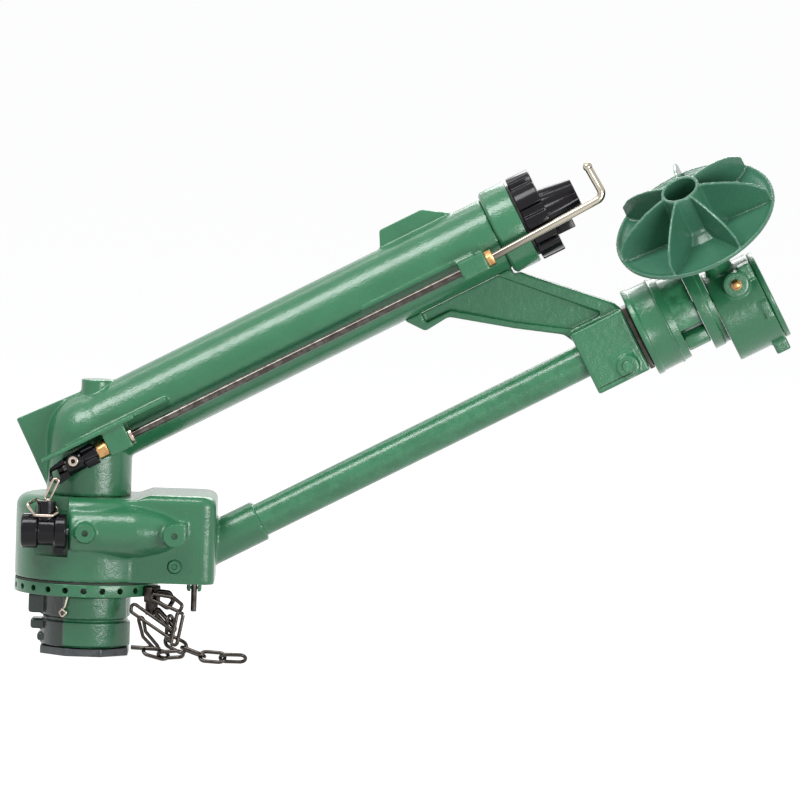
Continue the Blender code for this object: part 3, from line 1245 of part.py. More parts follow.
ear = case_block(EAR_SIZE, EAR_BACK, EAR_START, EAR_LOW)
side_pad = case_block(PAD_SIZE, PAD_BACK, -CASE_RADIUS - BEVEL_ADDENDUM, PAD_LOW)
case_foot = -CASE_DROP - CASE_RADIUS
tab_x = (CASE_END - CASE_TAB_LENGTH, CASE_END)
tab = block(tab_x, (-CASE_TAB_HALF, CASE_TAB_HALF), (case_foot - CASE_TAB_BELOW, case_foot + CASE_TAB_ABOVE))
lugs = (tool("case_ear", ear, tube), tool("case_pad", side_pad, tube), tool("case_tab", tab, tube))
unite(case, neck, screw_boss, *lugs)
past_case = CASE_END + CASE_LENGTH
case_room = cylinder(CASE_RADIUS - CASE_WALL, CASE_START + CASE_BACK_WALL, past_case, 32, TO_X, centre)
case_room = tool("case_room", case_room, tube)
case_mouth = cylinder(CASE_MOUTH_RADIUS, NECK_START, CASE_START + 2 * CASE_WALL, 20, TO_X)
case_mouth = tool("case_mouth", case_mouth, tube)
neck_bore = tool("neck_bore", cylinder(SHAFT_RADIUS + BUSH_WALL + FIT, BEVEL_RADIUS, HUB_TOP, 18), turbine)
screw_start = SCREW_BOSS_REACH - SCREW_DEPTH
screw_hole = cylinder(SCREW_RADIUS + FIT, screw_start - ROOT, 2 * SCREW_BOSS_REACH, 12, TO_FRONT, screw_place)
carve(case, case_room, case_mouth, neck_bore, tool("screw_hole", screw_hole, tube))
cap_disc = cylinder(CASE_RADIUS - ROOT, CASE_END + FIT, CASE_END + CAP_THICKNESS, 32, TO_X, centre)
piece("case_cap", cap_disc, GREEN, tube)
head_start = SCREW_BOSS_REACH + FIT
head_end = SCREW_BOSS_REACH + SCREW_HEAD_HEIGHT
screw_profile = [
    (0, screw_start),
    (SCREW_RADIUS, screw_start),
    (SCREW_RADIUS, head_start),
    (SCREW_HEAD_RADIUS, head_start),
    (SCREW_HEAD_RADIUS, head_end - SCREW_RADIUS),
    (SCREW_RADIUS, head_end),
    (0, head_end),
]
screw = lathe(screw_profile, 12, TO_FRONT, screw_place)
piece("grease_screw", screw, BRASS, tube)
bush = pipe(SHAFT_RADIUS + BUSH_WALL, SHAFT_RADIUS + FIT, NECK_BUSH_START, TURBINE_NECK_END - ROOT, 18)
piece("neck_bush", bush, BRONZE, turbine)

# Turbine: shaft with its bevel, wheel with hub, vanes and dished disc
disc_low = WHEEL_RIM_HEIGHT - WHEEL_DISH
shaft_end = disc_low + HUB_RADIUS + ROOT
turbine_shaft = bevel_gear("turbine_shaft", turbine, shaft_end, True)
disc_foot = TURBINE_NECK_END + 2 * FIT
hub_inner = SHAFT_RADIUS + FIT
wheel_profile = [
    (hub_inner, disc_foot),
    (HUB_RADIUS - WHEEL_RIM, disc_foot),
    (HUB_RADIUS + WHEEL_RIM, disc_low - WHEEL_THICKNESS),
    (WHEEL_RADIUS - WHEEL_RIM, WHEEL_RIM_HEIGHT - 1.5 * WHEEL_RIM),
    (WHEEL_RADIUS, WHEEL_RIM_HEIGHT - WHEEL_RIM),
    (WHEEL_RADIUS, WHEEL_RIM_HEIGHT),
    (WHEEL_RADIUS - WHEEL_RIM / 2, WHEEL_RIM_HEIGHT),
    (WHEEL_RADIUS - 1.5 * WHEEL_RIM, WHEEL_RIM_HEIGHT - 0.6 * WHEEL_RIM),
    (HUB_RADIUS + 3 * WHEEL_RIM, disc_low + WHEEL_RIM / 4),
    (HUB_RADIUS, disc_low + 2 * WHEEL_RIM),
    (HUB_RADIUS, HUB_TOP),
    (HUB_BORE, HUB_TOP),
    (HUB_BORE, disc_low + HUB_FLOOR),
    (hub_inner, disc_low + HUB_FLOOR),
]
turbine_wheel = piece("turbine_wheel", lathe(wheel_profile, 28), GREEN, turbine)
vane_outline = [
    (HUB_BORE + ROOT, disc_low - ROOT / 2),
    (WHEEL_RADIUS - 1.75 * WHEEL_RIM, WHEEL_RIM_HEIGHT - 1.1 * WHEEL_RIM),
    (WHEEL_RADIUS - WHEEL_RIM / 2, WHEEL_RIM_HEIGHT - ROOT),
]
vane_outline += [(radius, WHEEL_RIM_HEIGHT + height) for radius, height in VANE_EDGE]
vane_outline.append((HUB_BORE + ROOT, HUB_TOP - ROOT / 2))
vanes = bmesh.new()
for number in range(VANES):
    turn = Matrix.Rotation(2 * pi * number / VANES + VANE_PHASE, 4, "Z") @ TO_FRONT
    ends = []
    for side in (-VANE_THICKNESS / 2, VANE_THICKNESS / 2):
        ends.append([vanes.verts.new(turn @ Vector((x, z, side))) for x, z in vane_outline])
    vanes.faces.new(ends[1])
    vanes.faces.new(list(reversed(ends[0])))
    for k in range(len(vane_outline)):
        m = (k + 1) % len(vane_outline)
        vanes.faces.new([ends[0][k], ends[0][m], ends[1][m], ends[1][k]])
unite(turbine_wheel, tool("vanes", vanes, turbine))
nut_low = disc_low + HUB_FLOOR + FIT
nut_high = nut_low + WHEEL_NUT_LENGTH
wheel_nut = piece("wheel_nut", prism(polygon(6, WHEEL_NUT_RADIUS), nut_low, nut_high), STEEL, turbine)
carve(wheel_nut, tool("wheel_nut_bore", cylinder(SHAFT_RADIUS + FIT, disc_foot, HUB_TOP, 16), turbine))

# Jet-breaker rod with its fittings
kink = ROD_BEND - ROD_KINK
rise = kink * tan(ROD_KINK_ANGLE)
rod_path = [
    (ROD_START, 0, 0),
    (ROD_KINK, 0, 0),
    (ROD_BEND, 0, rise),
    (ROD_BEND - ROD_TIP_BACK, 0, rise + ROD_TIP_HEIGHT),
]
rod_line = [Vector(rod_path[0])] + rounded(rod_path, ROD_BEND_RADIUS, 5)[1:]
breaker_rod = piece("breaker_rod", sweep(rod_line, ROD_RADIUS, 12), NICKEL, rod)
ball = bmesh.new()
bmesh.ops.create_uvsphere(ball, u_segments=14, v_segments=8, radius=ROD_BALL_RADIUS)
bmesh.ops.translate(ball, verts=ball.verts, vec=Vector(rod_path[-1]))
unite(breaker_rod, tool("rod_ball", ball, rod))
nut_radius = ROD_NUT_FLATS / 2 / cos(pi / 6)
low_nut_end = LOW_BLOCK_START - FIT
brass_nut = prism(polygon(6, nut_radius, ROD_NUT_PHASE), low_nut_end - ROD_NUT_LENGTH, low_nut_end, TO_X)
brass_nut = piece("rod_nut_lower", brass_nut, BRASS, rod)
collar_start = LOW_BLOCK_END + FIT
collar = pipe(COLLAR_RADIUS, ROD_RADIUS + FIT, collar_start, collar_start + COLLAR_LENGTH, 14, TO_X)
piece("rod_collar", collar, NICKEL, rod)
high_nut_start = HIGH_BLOCK_END + FIT
high_nut = polygon(6, HIGH_NUT_RADIUS, ROD_NUT_PHASE)
high_nut = prism(high_nut, high_nut_start, high_nut_start + HIGH_NUT_LENGTH, TO_X)
high_nut = piece("rod_nut_upper", high_nut, BRASS, rod)
nut_hole = tool("rod_nut_hole", cylinder(ROD_RADIUS + FIT, 2 * ROD_START, ROD_KINK, 16, TO_X), rod)
carve(brass_nut, nut_hole)
carve(high_nut, nut_hole)

# Lever and winged knob clamped on the rod's lower end
wing_end = LOW_BLOCK_START - ROD_NUT_LENGTH - KNOB_GAP
wing_start = wing_end - KNOB_LENGTH
knob_bore = ROD_RADIUS + FIT
knob_profile = [
    (knob_bore, wing_start),
    (KNOB_BACK_RADIUS, wing_start),
    (KNOB_FRONT_RADIUS, wing_end),
    (knob_bore, wing_end),
]
wing_knob = piece("wing_knob", lathe(knob_profile, 14, TO_X), BLACK, rod)


def wing_outline(tip):
    return [(-WING_HALF, WING_ROOT), (WING_HALF, WING_ROOT), (WING_HALF, tip), (-WING_HALF, tip)]


for number in range(4):
    wing = prism(
        wing_outline(KNOB_FRONT_RADIUS), wing_start, wing_end, TO_X, top=wing_outline(WING_TIP)
    )
    turn = Matrix.Rotation(number * pi / 2 + WING_PHASE, 3, "X")
    bmesh.ops.rotate(wing, verts=wing.verts, matrix=turn)
    unite(wing_knob, tool(f"wing_{number + 1}", wing, rod))
lever_end = wing_start - LEVER_GAP
lever_outline = [(lever_end + x, z) for x, z in LEVER_OUTLINE]
lever = piece("rod_lever", slab(lever_outline, LEVER_THICKNESS / 2, LEVER_SHIFT), BLACK, rod)
lever_hub = cylinder(LEVER_HUB_RADIUS, lever_end - LEVER_HUB_LENGTH, lever_end, 18, TO_X)
boss_place = (lever_end - LEVER_BOSS_BACK, 0, LEVER_BOSS_RISE)
lever_boss = cylinder(LEVER_BOSS_RADIUS, -2 * ROOT, LEVER_BOSS_REACH, 18, TO_FRONT, boss_place)
unite(lever, tool("lever_hub", lever_hub, rod), tool("lever_boss", lever_boss, rod))
lever_slot = slab([(lever_end + x, z) for x, z in LEVER_SLOT], 2 * LEVER_THICKNESS)
lever_bore = tool("lever_bore", cylinder(knob_bore, 2 * ROD_START, LOW_BLOCK_END, 16, TO_X), rod)
eyelet_end = LEVER_BOSS_REACH + EYELET_PROUD
eyelet_start = eyelet_end - EYELET_LENGTH
pin_hole = cylinder(EYELET_RADIUS + FIT, eyelet_start - FIT, 2 * eyelet_end, 18, TO_FRONT, boss_place)
carve(lever, tool("lever_slot", lever_slot, rod), lever_bore, tool("lever_pin_hole", pin_hole, rod))
eyelet = pipe(EYELET_RADIUS, EYELET_BORE, eyelet_start, eyelet_end, 18, TO_FRONT, boss_place)
piece("lever_eyelet", eyelet, NICKEL, rod)

# Rocker drum on its pin, with neck, bail and wire link
drum = cylinder(ROCKER_RADIUS, ROCKER_LEFT, ROCKER_RIGHT, 22, TO_X, (-ROCKER_NECK_X, 0, 0))
rocker_drum = piece("rocker_drum", drum, BLACK, rocker)
rocker_neck = cylinder(ROCKER_NECK_RADIUS, ROCKER_RADIUS / 2, ROCKER_NECK_TOP, 18)
rocker_neck = tool("rocker_neck", rocker_neck, rocker)
nub_right = ROCKER_RIGHT - ROCKER_NECK_X - ROCKER_NUB_SIZE / 4
nub_x = (nub_right - ROCKER_NUB_SIZE, nub_right)
nub_y = (-ROCKER_NUB_SIZE / 2, ROCKER_NUB_SIZE / 2)
nub = block(nub_x, nub_y, (-ROCKER_RADIUS - ROCKER_NUB_DROP, -ROCKER_RADIUS / 2))
unite(rocker_drum, rocker_neck, tool("rocker_nub", nub, rocker))
rocker_bore = cylinder(ROCKER_PIN_RADIUS + FIT, ROCKER_LEFT, -ROCKER_LEFT, 16, TO_X)
rocker_bore = tool("rocker_bore", rocker_bore, rocker)
carve(rocker_drum, rocker_bore)
pin_left = ROCKER_LEFT + ROCKER_PIN_INSET
pin_right = BULGE_LEFT + BULGE_WALL - ROOT
pin = cylinder(ROCKER_PIN_RADIUS, pin_left, pin_right, 16, TO_X, (0, ROCKER_Y, WORM_Z))
piece("rocker_pin", pin, STEEL, swivel)
bail = sweep(rounded(BAIL_POINTS, BAIL_BEND, 2, True), WIRE_RADIUS, 6, True)
piece("rocker_bail", bail, NICKEL, rocker)

# Wire link from the bail up to the slot of the rod lever
link_frame = frame("link_axis", (ROCKER_NECK_X, LINK_PIVOT_Y, WORM_Z + LINK_PIVOT_HEIGHT))
link_rise = LINK_TOP_Z - WORM_Z - LINK_PIVOT_HEIGHT
link_shift = LINK_TOP_X - ROCKER_NECK_X
link_points = [
    (-LINK_HALF_WIDTH, 0, 0),
    (LINK_HALF_WIDTH, 0, 0),
    (link_shift + LINK_HALF_WIDTH, 0, link_rise),
    (link_shift - LINK_HALF_WIDTH, 0, link_rise),
]
link_wire = sweep(rounded(link_points, LINK_BEND, 2, True), WIRE_RADIUS * 0.8, 6, True)
rocker_link = piece("rocker_link", link_wire, NICKEL, link_frame)
peg = cylinder(LINK_PEG_RADIUS, -LINK_PEG_LENGTH, 0, 12, TO_FRONT, (link_shift, 0, link_rise))
unite(rocker_link, tool("link_peg", peg, link_frame))

# Trip lever on a hanger under the housing
hanger_x = (TRIP_X - HANGER_HALF, TRIP_X + HANGER_HALF)
hanger_y = (TRIP_Y - HANGER_DEPTH, TRIP_Y + HANGER_DEPTH)
hanger = block(hanger_x, hanger_y, (HOUSING_BOTTOM - HANGER_DROP, HOUSING_BOTTOM + ROOT))
slot_half = TRIP_RADIUS + FIT
hanger_slot = block(
    (TRIP_X - slot_half, TRIP_X + slot_half),
    (TRIP_Y - 2 * HANGER_DEPTH, TRIP_Y + 2 * HANGER_DEPTH),
    (HOUSING_BOTTOM - 2 * HANGER_DROP, HOUSING_BOTTOM - ROOT),
)
hanger_slot = tool("hanger_slot", hanger_slot, swivel)
hanger_hole = cylinder(TRIP_PIN_RADIUS + FIT, -2 * HANGER_HALF, 2 * HANGER_HALF, 12, TO_X)
hanger_hole = tool("hanger_hole", hanger_hole, trip)
unite(housing, tool("trip_hanger", hanger, swivel))
carve(housing, hanger_slot, hanger_hole)
trip_rod = cylinder(TRIP_RADIUS, -TRIP_LENGTH, TRIP_RADIUS, 16)
trip_lever = piece("trip_lever", trip_rod, DARK_STEEL, trip)
unite(trip_lever, tool("trip_pin", cylinder(TRIP_PIN_RADIUS, -HANGER_HALF, HANGER_HALF, 12, TO_X), trip))

# Stop block and the two wire stops on the sector ring
stop_frame = frame("stop_frame", (0, 0, 0), (cos(STOP_ANGLE), sin(STOP_ANGLE), 0))
stop_inner = SECTOR_RADIUS + STOP_BLOCK_GAP
stop_outer = stop_inner + STOP_BLOCK_DEPTH
stop_z = (STOP_BLOCK_BOTTOM, SECTOR_TOP - STOP_BLOCK_BELOW)
stop_block = block((stop_inner, stop_outer), (-STOP_BLOCK_HALF, STOP_BLOCK_HALF), stop_z)
piece("stop_block", stop_block, DARK_STEEL, stop_frame)
root = stop_outer + STOP_WIRE_RADIUS + FIT
upper_stop = [(root + x, y, z) for x, y, z in UPPER_STOP_POINTS]
upper_stop = sweep(rounded(upper_stop, UPPER_STOP_BEND, 2, True), STOP_WIRE_RADIUS, 7, True)
piece("sector_stop_upper", upper_stop, DARK_STEEL, stop_frame)
loop_end = root + LOWER_STOP_REACH
loop_low = LOWER_STOP_TOP - LOWER_STOP_DROP
lower_stop = [
    (root, -LOWER_STOP_SHIFT, LOWER_STOP_TOP),
    (loop_end, -2 * LOWER_STOP_SHIFT, loop_low),
    (loop_end - LOWER_STOP_WIDTH / 2, -2 * LOWER_STOP_SHIFT, loop_low - LOWER_STOP_TIP),
    (root, -LOWER_STOP_SHIFT, LOWER_STOP_TOP - LOWER_STOP_WIDTH),
]
lower_stop = sweep(rounded(lower_stop, LOWER_STOP_BEND, 2, True), STOP_WIRE_RADIUS, 7, True)
piece("sector_stop_lower", lower_stop, DARK_STEEL, stop_frame)

# Loose chain: one link on the lower stop, the rest down to and along the ground
link_half = LINK_STRAIGHT / 2 + LINK_BEND_RADIUS
link_outline = [
    (-link_half, -LINK_BEND_RADIUS, 0),
    (link_half, -LINK_BEND_RADIUS, 0),
    (link_half, LINK_BEND_RADIUS, 0),
    (-link_half, LINK_BEND_RADIUS, 0),
]
link_path = rounded(link_outline, LINK_BEND_RADIUS * 0.98, 3, True)


def chain_link(number, centre, direction, normal):
    """One link, its length along direction and its flat side facing normal."""
    direction = Vector(direction).normalized()
    normal = Vector(normal) - Vector(normal).dot(direction) * direction
    axis = frame(f"chain_axis_{number}", centre, direction, normal)
    piece(f"chain_link_{number}", sweep(link_path, LINK_WIRE_RADIUS, 6, True), DARK_STEEL, axis)


radial = Vector((cos(STOP_ANGLE), sin(STOP_ANGLE), 0))
across = Vector((-sin(STOP_ANGLE), cos(STOP_ANGLE), 0))
wire_slope = LOWER_STOP_DROP / LOWER_STOP_REACH
stop_wire_z = LOWER_STOP_TOP - wire_slope * LINK_HANG
wire_gap = (STOP_WIRE_RADIUS + LINK_WIRE_RADIUS + LINK_SLACK) * sqrt(1 + wire_slope**2)
first_middle = (root + LINK_HANG) * radial - LINK_SHIFT * across
first_middle.z = stop_wire_z + wire_gap - link_half
chain_link(1, first_middle, (0, 0, -1), radial)
link_step = link_half * 2 - 2 * LINK_WIRE_RADIUS - LINK_SLACK
overlap = link_step - link_half
hook = first_middle - Vector((0, 0, link_half))
ground_height = LINK_BEND_RADIUS * sin(pi / 4) + LINK_WIRE_RADIUS + FIT
start_height = hook.z
end = hook
lay = (
    (2, radians(-28), 0.52, radians(90)),
    (3, radians(-19), 0.95, radians(20)),
    (4, radians(-9), 1.0, radians(-48)),
    (5, radians(1), 1.0, radians(42)),
)
for number, heading, share, roll in lay:
    height = start_height + share * (ground_height - start_height)
    fall = asin((end.z - height) / link_step)
    level = Vector((cos(heading), sin(heading), 0))
    direction = cos(fall) * level - sin(fall) * Vector((0, 0, 1))
    side = Vector((-sin(heading), cos(heading), 0))
    normal = cos(roll) * direction.cross(side) + sin(roll) * side
    chain_link(number, end + overlap * direction, direction, normal)
    end = end + link_step * direction

# Booleans leave some points a few nanometres apart
for item in bpy.data.objects:
    if item.type == "MESH" and not item.hide_render and item.modifiers:
        weld = item.modifiers.new("weld", "WELD")
        weld.merge_threshold = 0.00002
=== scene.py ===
"""The look of a big-gun sprinkler: fine surfaces, enamel, metal, plastic, light and camera.

Metres, +Z up. The swivel axis is Z, and the barrel rises towards +X.
"""

import json
from math import asin, cos, pi, radians, sin, tan

import bpy
from mathutils import Matrix, Vector


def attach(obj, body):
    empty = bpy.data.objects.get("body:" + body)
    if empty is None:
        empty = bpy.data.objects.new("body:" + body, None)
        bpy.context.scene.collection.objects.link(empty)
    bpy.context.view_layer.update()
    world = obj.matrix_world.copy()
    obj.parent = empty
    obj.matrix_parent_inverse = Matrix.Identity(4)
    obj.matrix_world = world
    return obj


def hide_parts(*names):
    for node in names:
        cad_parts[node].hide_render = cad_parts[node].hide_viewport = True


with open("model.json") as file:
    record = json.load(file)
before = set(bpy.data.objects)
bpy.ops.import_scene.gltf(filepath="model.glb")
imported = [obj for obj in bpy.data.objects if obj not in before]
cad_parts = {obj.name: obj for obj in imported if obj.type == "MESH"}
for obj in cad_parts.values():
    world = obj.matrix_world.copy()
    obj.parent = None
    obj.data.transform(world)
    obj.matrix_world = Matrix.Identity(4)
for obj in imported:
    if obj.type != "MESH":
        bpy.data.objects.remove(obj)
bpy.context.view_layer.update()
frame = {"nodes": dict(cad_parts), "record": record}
nodes = frame["nodes"]

# Clearance between pieces that touch
FIT = 0.0003

# Barrel and elbow
ELEVATION = radians(28.1)
ELBOW_HEIGHT = 0.220
BARREL_RADIUS = 0.038
BARREL_BORE = 0.032
BARREL_LENGTH = 0.452
ELBOW_RADIUS = 0.0425
ELBOW_BORE = 0.036
DOME_STEPS = 13
END_RING_RADIUS = 0.044
END_RING_LENGTH = 0.029
GASKET_LENGTH = 0.003
NUT_LENGTH = 0.024
NUT_LUGS = 8
NUT_PHASE = 0.22
NUT_VALLEY = 0.039
NUT_BORE = 0.026
NOZZLE_LENGTH = 0.034
NOZZLE_RIBS = 8
NOZZLE_PHASE = 0.30
NOZZLE_ROOT = 0.022
NOZZLE_TAPER = 0.75
NOZZLE_MOUTH = 0.010
NUT_START = BARREL_LENGTH + END_RING_LENGTH + GASKET_LENGTH
NOZZLE_START = NUT_START + NUT_LENGTH
HOUSING_TOP = 0.160
REAR_FIN_HALF = 0.003
TOP_FIN_HALF = 0.0035

# Breaker rod
ROD_RADIUS = 0.004
ROD_SIDE = 0.053
ROD_DROP = 0.0165
ROD_START = -0.036
ROD_KINK = 0.441
ROD_KINK_ANGLE = radians(2.2)
ROD_BEND = 0.566
ROD_TIP_HEIGHT = 0.034
ROD_BALL = 0.0048
LOW_BLOCK = (0.013, 0.037)
HIGH_BLOCK = (0.405, 0.433)
ROD_NUT_LENGTH = 0.011
ROD_NUT_WIDTH = 0.0165
UPPER_NUT_RADIUS = 0.0088
COLLAR_RADIUS = 0.0085
KNOB_BORE = 0.0044
WINGS = 4

# Drive tube, clamp and gear head
TUBE_DROP = 0.15298
TUBE_RADIUS = 0.017
TUBE_BORE = 0.0135
TUBE_START = 0.100
TUBE_END = 0.5681
CLAMP_START = 0.474
CLAMP_END = 0.531
CLAMP_TOP = 0.031
CLAMP_BOTTOM = 0.0355
CLAMP_HALF = 0.025
ARM_HALF = 0.009
WEB_HALF = 0.0028
WEB_CORNER = 0.0025
CLAMP_BOLT_AT = 0.512
CLAMP_BOLT_DROP = 0.0225
BOLT_BORE = 0.0043
BOLT_BOSS_RADIUS = 0.0115
BOLT_BOSS_REACH = 0.029
SPACER_LENGTH = 0.005
SPACER_HALF = 0.024
FLANGE_START = CLAMP_END + SPACER_LENGTH + 2 * FIT
NECK_START = FLANGE_START + 0.0375
NECK_END_RADIUS = 0.0195
CASE_PLATE_START = NECK_START + 0.0245
CASE_START = CASE_PLATE_START + 0.0175
CASE_END = CASE_START + 0.050
CASE_RADIUS = 0.047
CASE_DROP = 0.022
CASE_WALL = 0.005
CAP_LENGTH = 0.006
PLATE_RADIUS = 0.0475
SHAFT_HOLE = 0.0053
GREASE_BORE = 0.0033
HEAD_BOLT_RADIUS = 0.0103
SCREW_REACH = 0.0475
TURBINE_AT = 0.636
TURBINE_LEAN = radians(31.5)
TURBINE_NECK = 0.014
TURBINE_NECK_BORE = 0.0083

# Turbine wheel
WHEEL_RADIUS = 0.084
RIM_HEIGHT = 0.095
HUB_RADIUS = 0.020
HUB_BORE = 0.0165
HUB_TOP = 0.136
VANES = 7
VANE_HALF = 0.0015
# Radius, and height above the rim
VANE_EDGE = (
    (0.082, 0.001),
    (0.0815, 0.0125),
    (0.0725, 0.0215),
    (0.064, 0.0265),
    (0.0555, 0.0305),
    (0.042, 0.0355),
    (0.028, 0.039),
)

# Gear housing and base
HOUSING_WALL = 0.006
DRUM_RADIUS = 0.072
DRUM_ROUND = 0.013
DRUM_STEPS = 6
HOUSING_BOTTOM = 0.0766
BOX_LEFT = 0.040
BOX_RIGHT = 0.129
BOX_FRONT = 0.056
BOX_TOP = 0.1645
BOX_CORNER = 0.013
BOX_ROUND = 0.0095
JOURNAL_BORE = 0.0046
CROSS_X = 0.089
WORM_Y = -0.058
WORM_Z = 0.1274
LOWER_CROSS_Z = 0.0941
FOOT_RADIUS = 0.0475
FOOT_HEIGHT = 0.008
SLEEVE_RADIUS = 0.045
SLEEVE_BORE = 0.0365
SLEEVE_GROOVE = 0.0026
PANEL_LEFT = -0.0205
LUG_REACH = 0.0125
WATER_BORE = 0.030
SECTOR_RADIUS = 0.072
SECTOR_BOTTOM = 0.062
SECTOR_TOP = 0.0745
STOP_HOLES = 24
STOP_HOLE_RADIUS = 0.00315
FELT_INNER = 0.0693
FELT_OUTER = 0.0712
FELT_TOP = 0.0763
STOP_ANGLE = radians(-29)
STOP_WIRE = 0.0024
STOP_DEPTH = 0.009
LOWER_STOP_TOP = 0.0520
LOWER_STOP_RUN = 0.0242
LOWER_STOP_DROP = 0.0192
TRIP_X = 0.1085
TRIP_Y = -0.019
TRIP_Z = 0.0706
BULGE_RADIUS = 0.025
BULGE_LEFT = -0.017
BULGE_RIGHT = 0.094
RIGHT_BOSS_RADIUS = 0.0115
LEFT_BOSS_RADIUS = 0.0102
HANGER_HALF = (0.0075, 0.0035)
WORM_BOSS_REACH = 0.090
SPIGOT_RADIUS = 0.021
SPIGOT_END = 0.114
PLUG_RADIUS = 0.0068
PLUG_REACH = 0.0015
ROCKER_RADIUS = 0.0175
ROCKER_X = -0.0395
ROCKER_Y = -0.070
LINK_Y = -0.0575
LINK_PIVOT_Z = 0.1572
WIRE_RADIUS = 0.0016
FLANGE_RADIUS = 0.046
NECK_RADIUS = 0.0265
VANE_PHASE = radians(33)

# Directions and frames: a frame's Z is the axis that a piece is turned or extruded along
ALONG = Vector((cos(ELEVATION), 0, sin(ELEVATION)))
ABOVE = Vector((-sin(ELEVATION), 0, cos(ELEVATION)))
FRONT = Vector((0, -1, 0))
RIGHT = Vector((1, 0, 0))
UP = Vector((0, 0, 1))
ELBOW = Vector((0, 0, ELBOW_HEIGHT))
TUBE_ORIGIN = ELBOW - TUBE_DROP * ABOVE
APEX = TUBE_ORIGIN + TURBINE_AT * ALONG
LEAN = cos(TURBINE_LEAN) * ABOVE + sin(TURBINE_LEAN) * FRONT


def axes(origin, x, z):
    """A frame at origin whose X and Z point along x and z."""
    x = Vector(x).normalized()
    z = Vector(z).normalized()
    turn = Matrix((x, z.cross(x), z)).transposed().to_4x4()
    return Matrix.Translation(Vector(origin)) @ turn


UPRIGHT = Matrix()
FACING = axes((0, 0, 0), RIGHT, FRONT)
BARREL_TURN = axes(ELBOW, ABOVE, ALONG)
BARREL_SIDE = axes(ELBOW, ALONG, FRONT)
TUBE_TURN = axes(TUBE_ORIGIN, ABOVE, ALONG)
TUBE_SIDE = axes(TUBE_ORIGIN, ALONG, FRONT)
ROD_ORIGIN = ELBOW + ROD_SIDE * FRONT - ROD_DROP * ABOVE
ROD_TURN = axes(ROD_ORIGIN, ABOVE, ALONG)
ROD_SIDE_ON = axes(ROD_ORIGIN, ALONG, FRONT)
WHEEL_TURN = axes(APEX, ALONG, LEAN)
WORM_TURN = axes((0, WORM_Y, WORM_Z), UP, RIGHT)
UPPER_CROSS = axes((CROSS_X, 0, WORM_Z), RIGHT, FRONT)
LOWER_CROSS = axes((CROSS_X, 0, LOWER_CROSS_Z), RIGHT, FRONT)
LEFT_BOSS = axes((0, 0, WORM_Z), RIGHT, FRONT)
TRIP = axes((TRIP_X, TRIP_Y, TRIP_Z), RIGHT, UP)
TRIP_TURN = axes((TRIP_X, TRIP_Y, TRIP_Z), UP, RIGHT)
ROCKER = axes((ROCKER_X, ROCKER_Y, WORM_Z), RIGHT, UP)
ROCKER_TURN = axes((ROCKER_X, ROCKER_Y, WORM_Z), UP, RIGHT)
LINK = axes((ROCKER_X, LINK_Y, LINK_PIVOT_Z), RIGHT, UP)
CASE_TURN = TUBE_TURN @ Matrix.Translation((-CASE_DROP, 0, 0))
STOP = axes((0, 0, 0), (cos(STOP_ANGLE), sin(STOP_ANGLE), 0), UP)


# Modelling tools
def let_go():
    """Leaves edit mode and selects nothing."""
    if bpy.context.object and bpy.context.object.mode != "OBJECT":
        bpy.ops.object.mode_set(mode="OBJECT")
    bpy.ops.object.select_all(action="DESELECT")


def pick(item):
    let_go()
    item.select_set(True)
    bpy.context.view_layer.objects.active = item


def settle(item, place):
    """Puts a new piece into its frame, with its faces outwards and its origin at the world's."""
    if item.mode != "EDIT":
        pick(item)
        bpy.ops.object.mode_set(mode="EDIT")
    bpy.ops.mesh.select_all(action="SELECT")
    bpy.ops.mesh.remove_doubles(threshold=1e-6)
    bpy.ops.mesh.normals_make_consistent(inside=False)
    pick(item)
    item.matrix_world = place @ item.matrix_world
    bpy.ops.object.transform_apply(location=True, rotation=True, scale=True)
    return item


def turned(profile, place=UPRIGHT, sides=64, hollow=False):
    """A circle extruded and resized from one (radius, height) to the next."""
    let_go()
    radius, height = profile[0]
    fill = "NOTHING" if hollow else "NGON"
    bpy.ops.mesh.primitive_circle_add(
        vertices=sides, radius=radius, fill_type=fill, enter_editmode=True, location=(0, 0, height)
    )
    for next_radius, next_height in profile[1:]:
        step = (0, 0, next_height - height)
        bpy.ops.mesh.extrude_region_move(TRANSFORM_OT_translate={"value": step})
        share = next_radius / radius
        bpy.ops.transform.resize(value=(share, share, 1), center_override=(0, 0, next_height))
        radius, height = next_radius, next_height
    if hollow:
        bpy.ops.mesh.select_all(action="DESELECT")
        bpy.ops.mesh.select_non_manifold()
        bpy.ops.mesh.bridge_edge_loops()
    return settle(bpy.context.object, place)


def rod(radius, low, high, place=UPRIGHT, sides=48):
    return turned([(radius, low), (radius, high)], place, sides)


def ring(outer, inner, low, high, place=UPRIGHT, sides=48):
    return turned([(inner, low), (outer, low), (outer, high), (inner, high)], place, sides, True)


def regular(sides, radius, phase):
    """The corners of a regular outline."""
    angles = [phase + n * 2 * pi / sides for n in range(sides)]
    return [(radius * cos(angle), radius * sin(angle)) for angle in angles]


def plate(outline, low, high, place=UPRIGHT, share=1):
    """An outline of (x, y) extruded along the frame's Z. share resizes the far end."""
    let_go()
    bpy.ops.mesh.primitive_circle_add(vertices=len(outline), fill_type="NGON")
    item = bpy.context.object
    for vertex, (x, y) in zip(item.data.vertices, outline):
        vertex.co = (x, y, low)
    bpy.ops.object.mode_set(mode="EDIT")
    bpy.ops.mesh.select_all(action="SELECT")
    bpy.ops.mesh.extrude_region_move(TRANSFORM_OT_translate={"value": (0, 0, high - low)})
    if share != 1:
        bpy.ops.transform.resize(value=(share, share, 1), center_override=(0, 0, high))
    return settle(item, place)


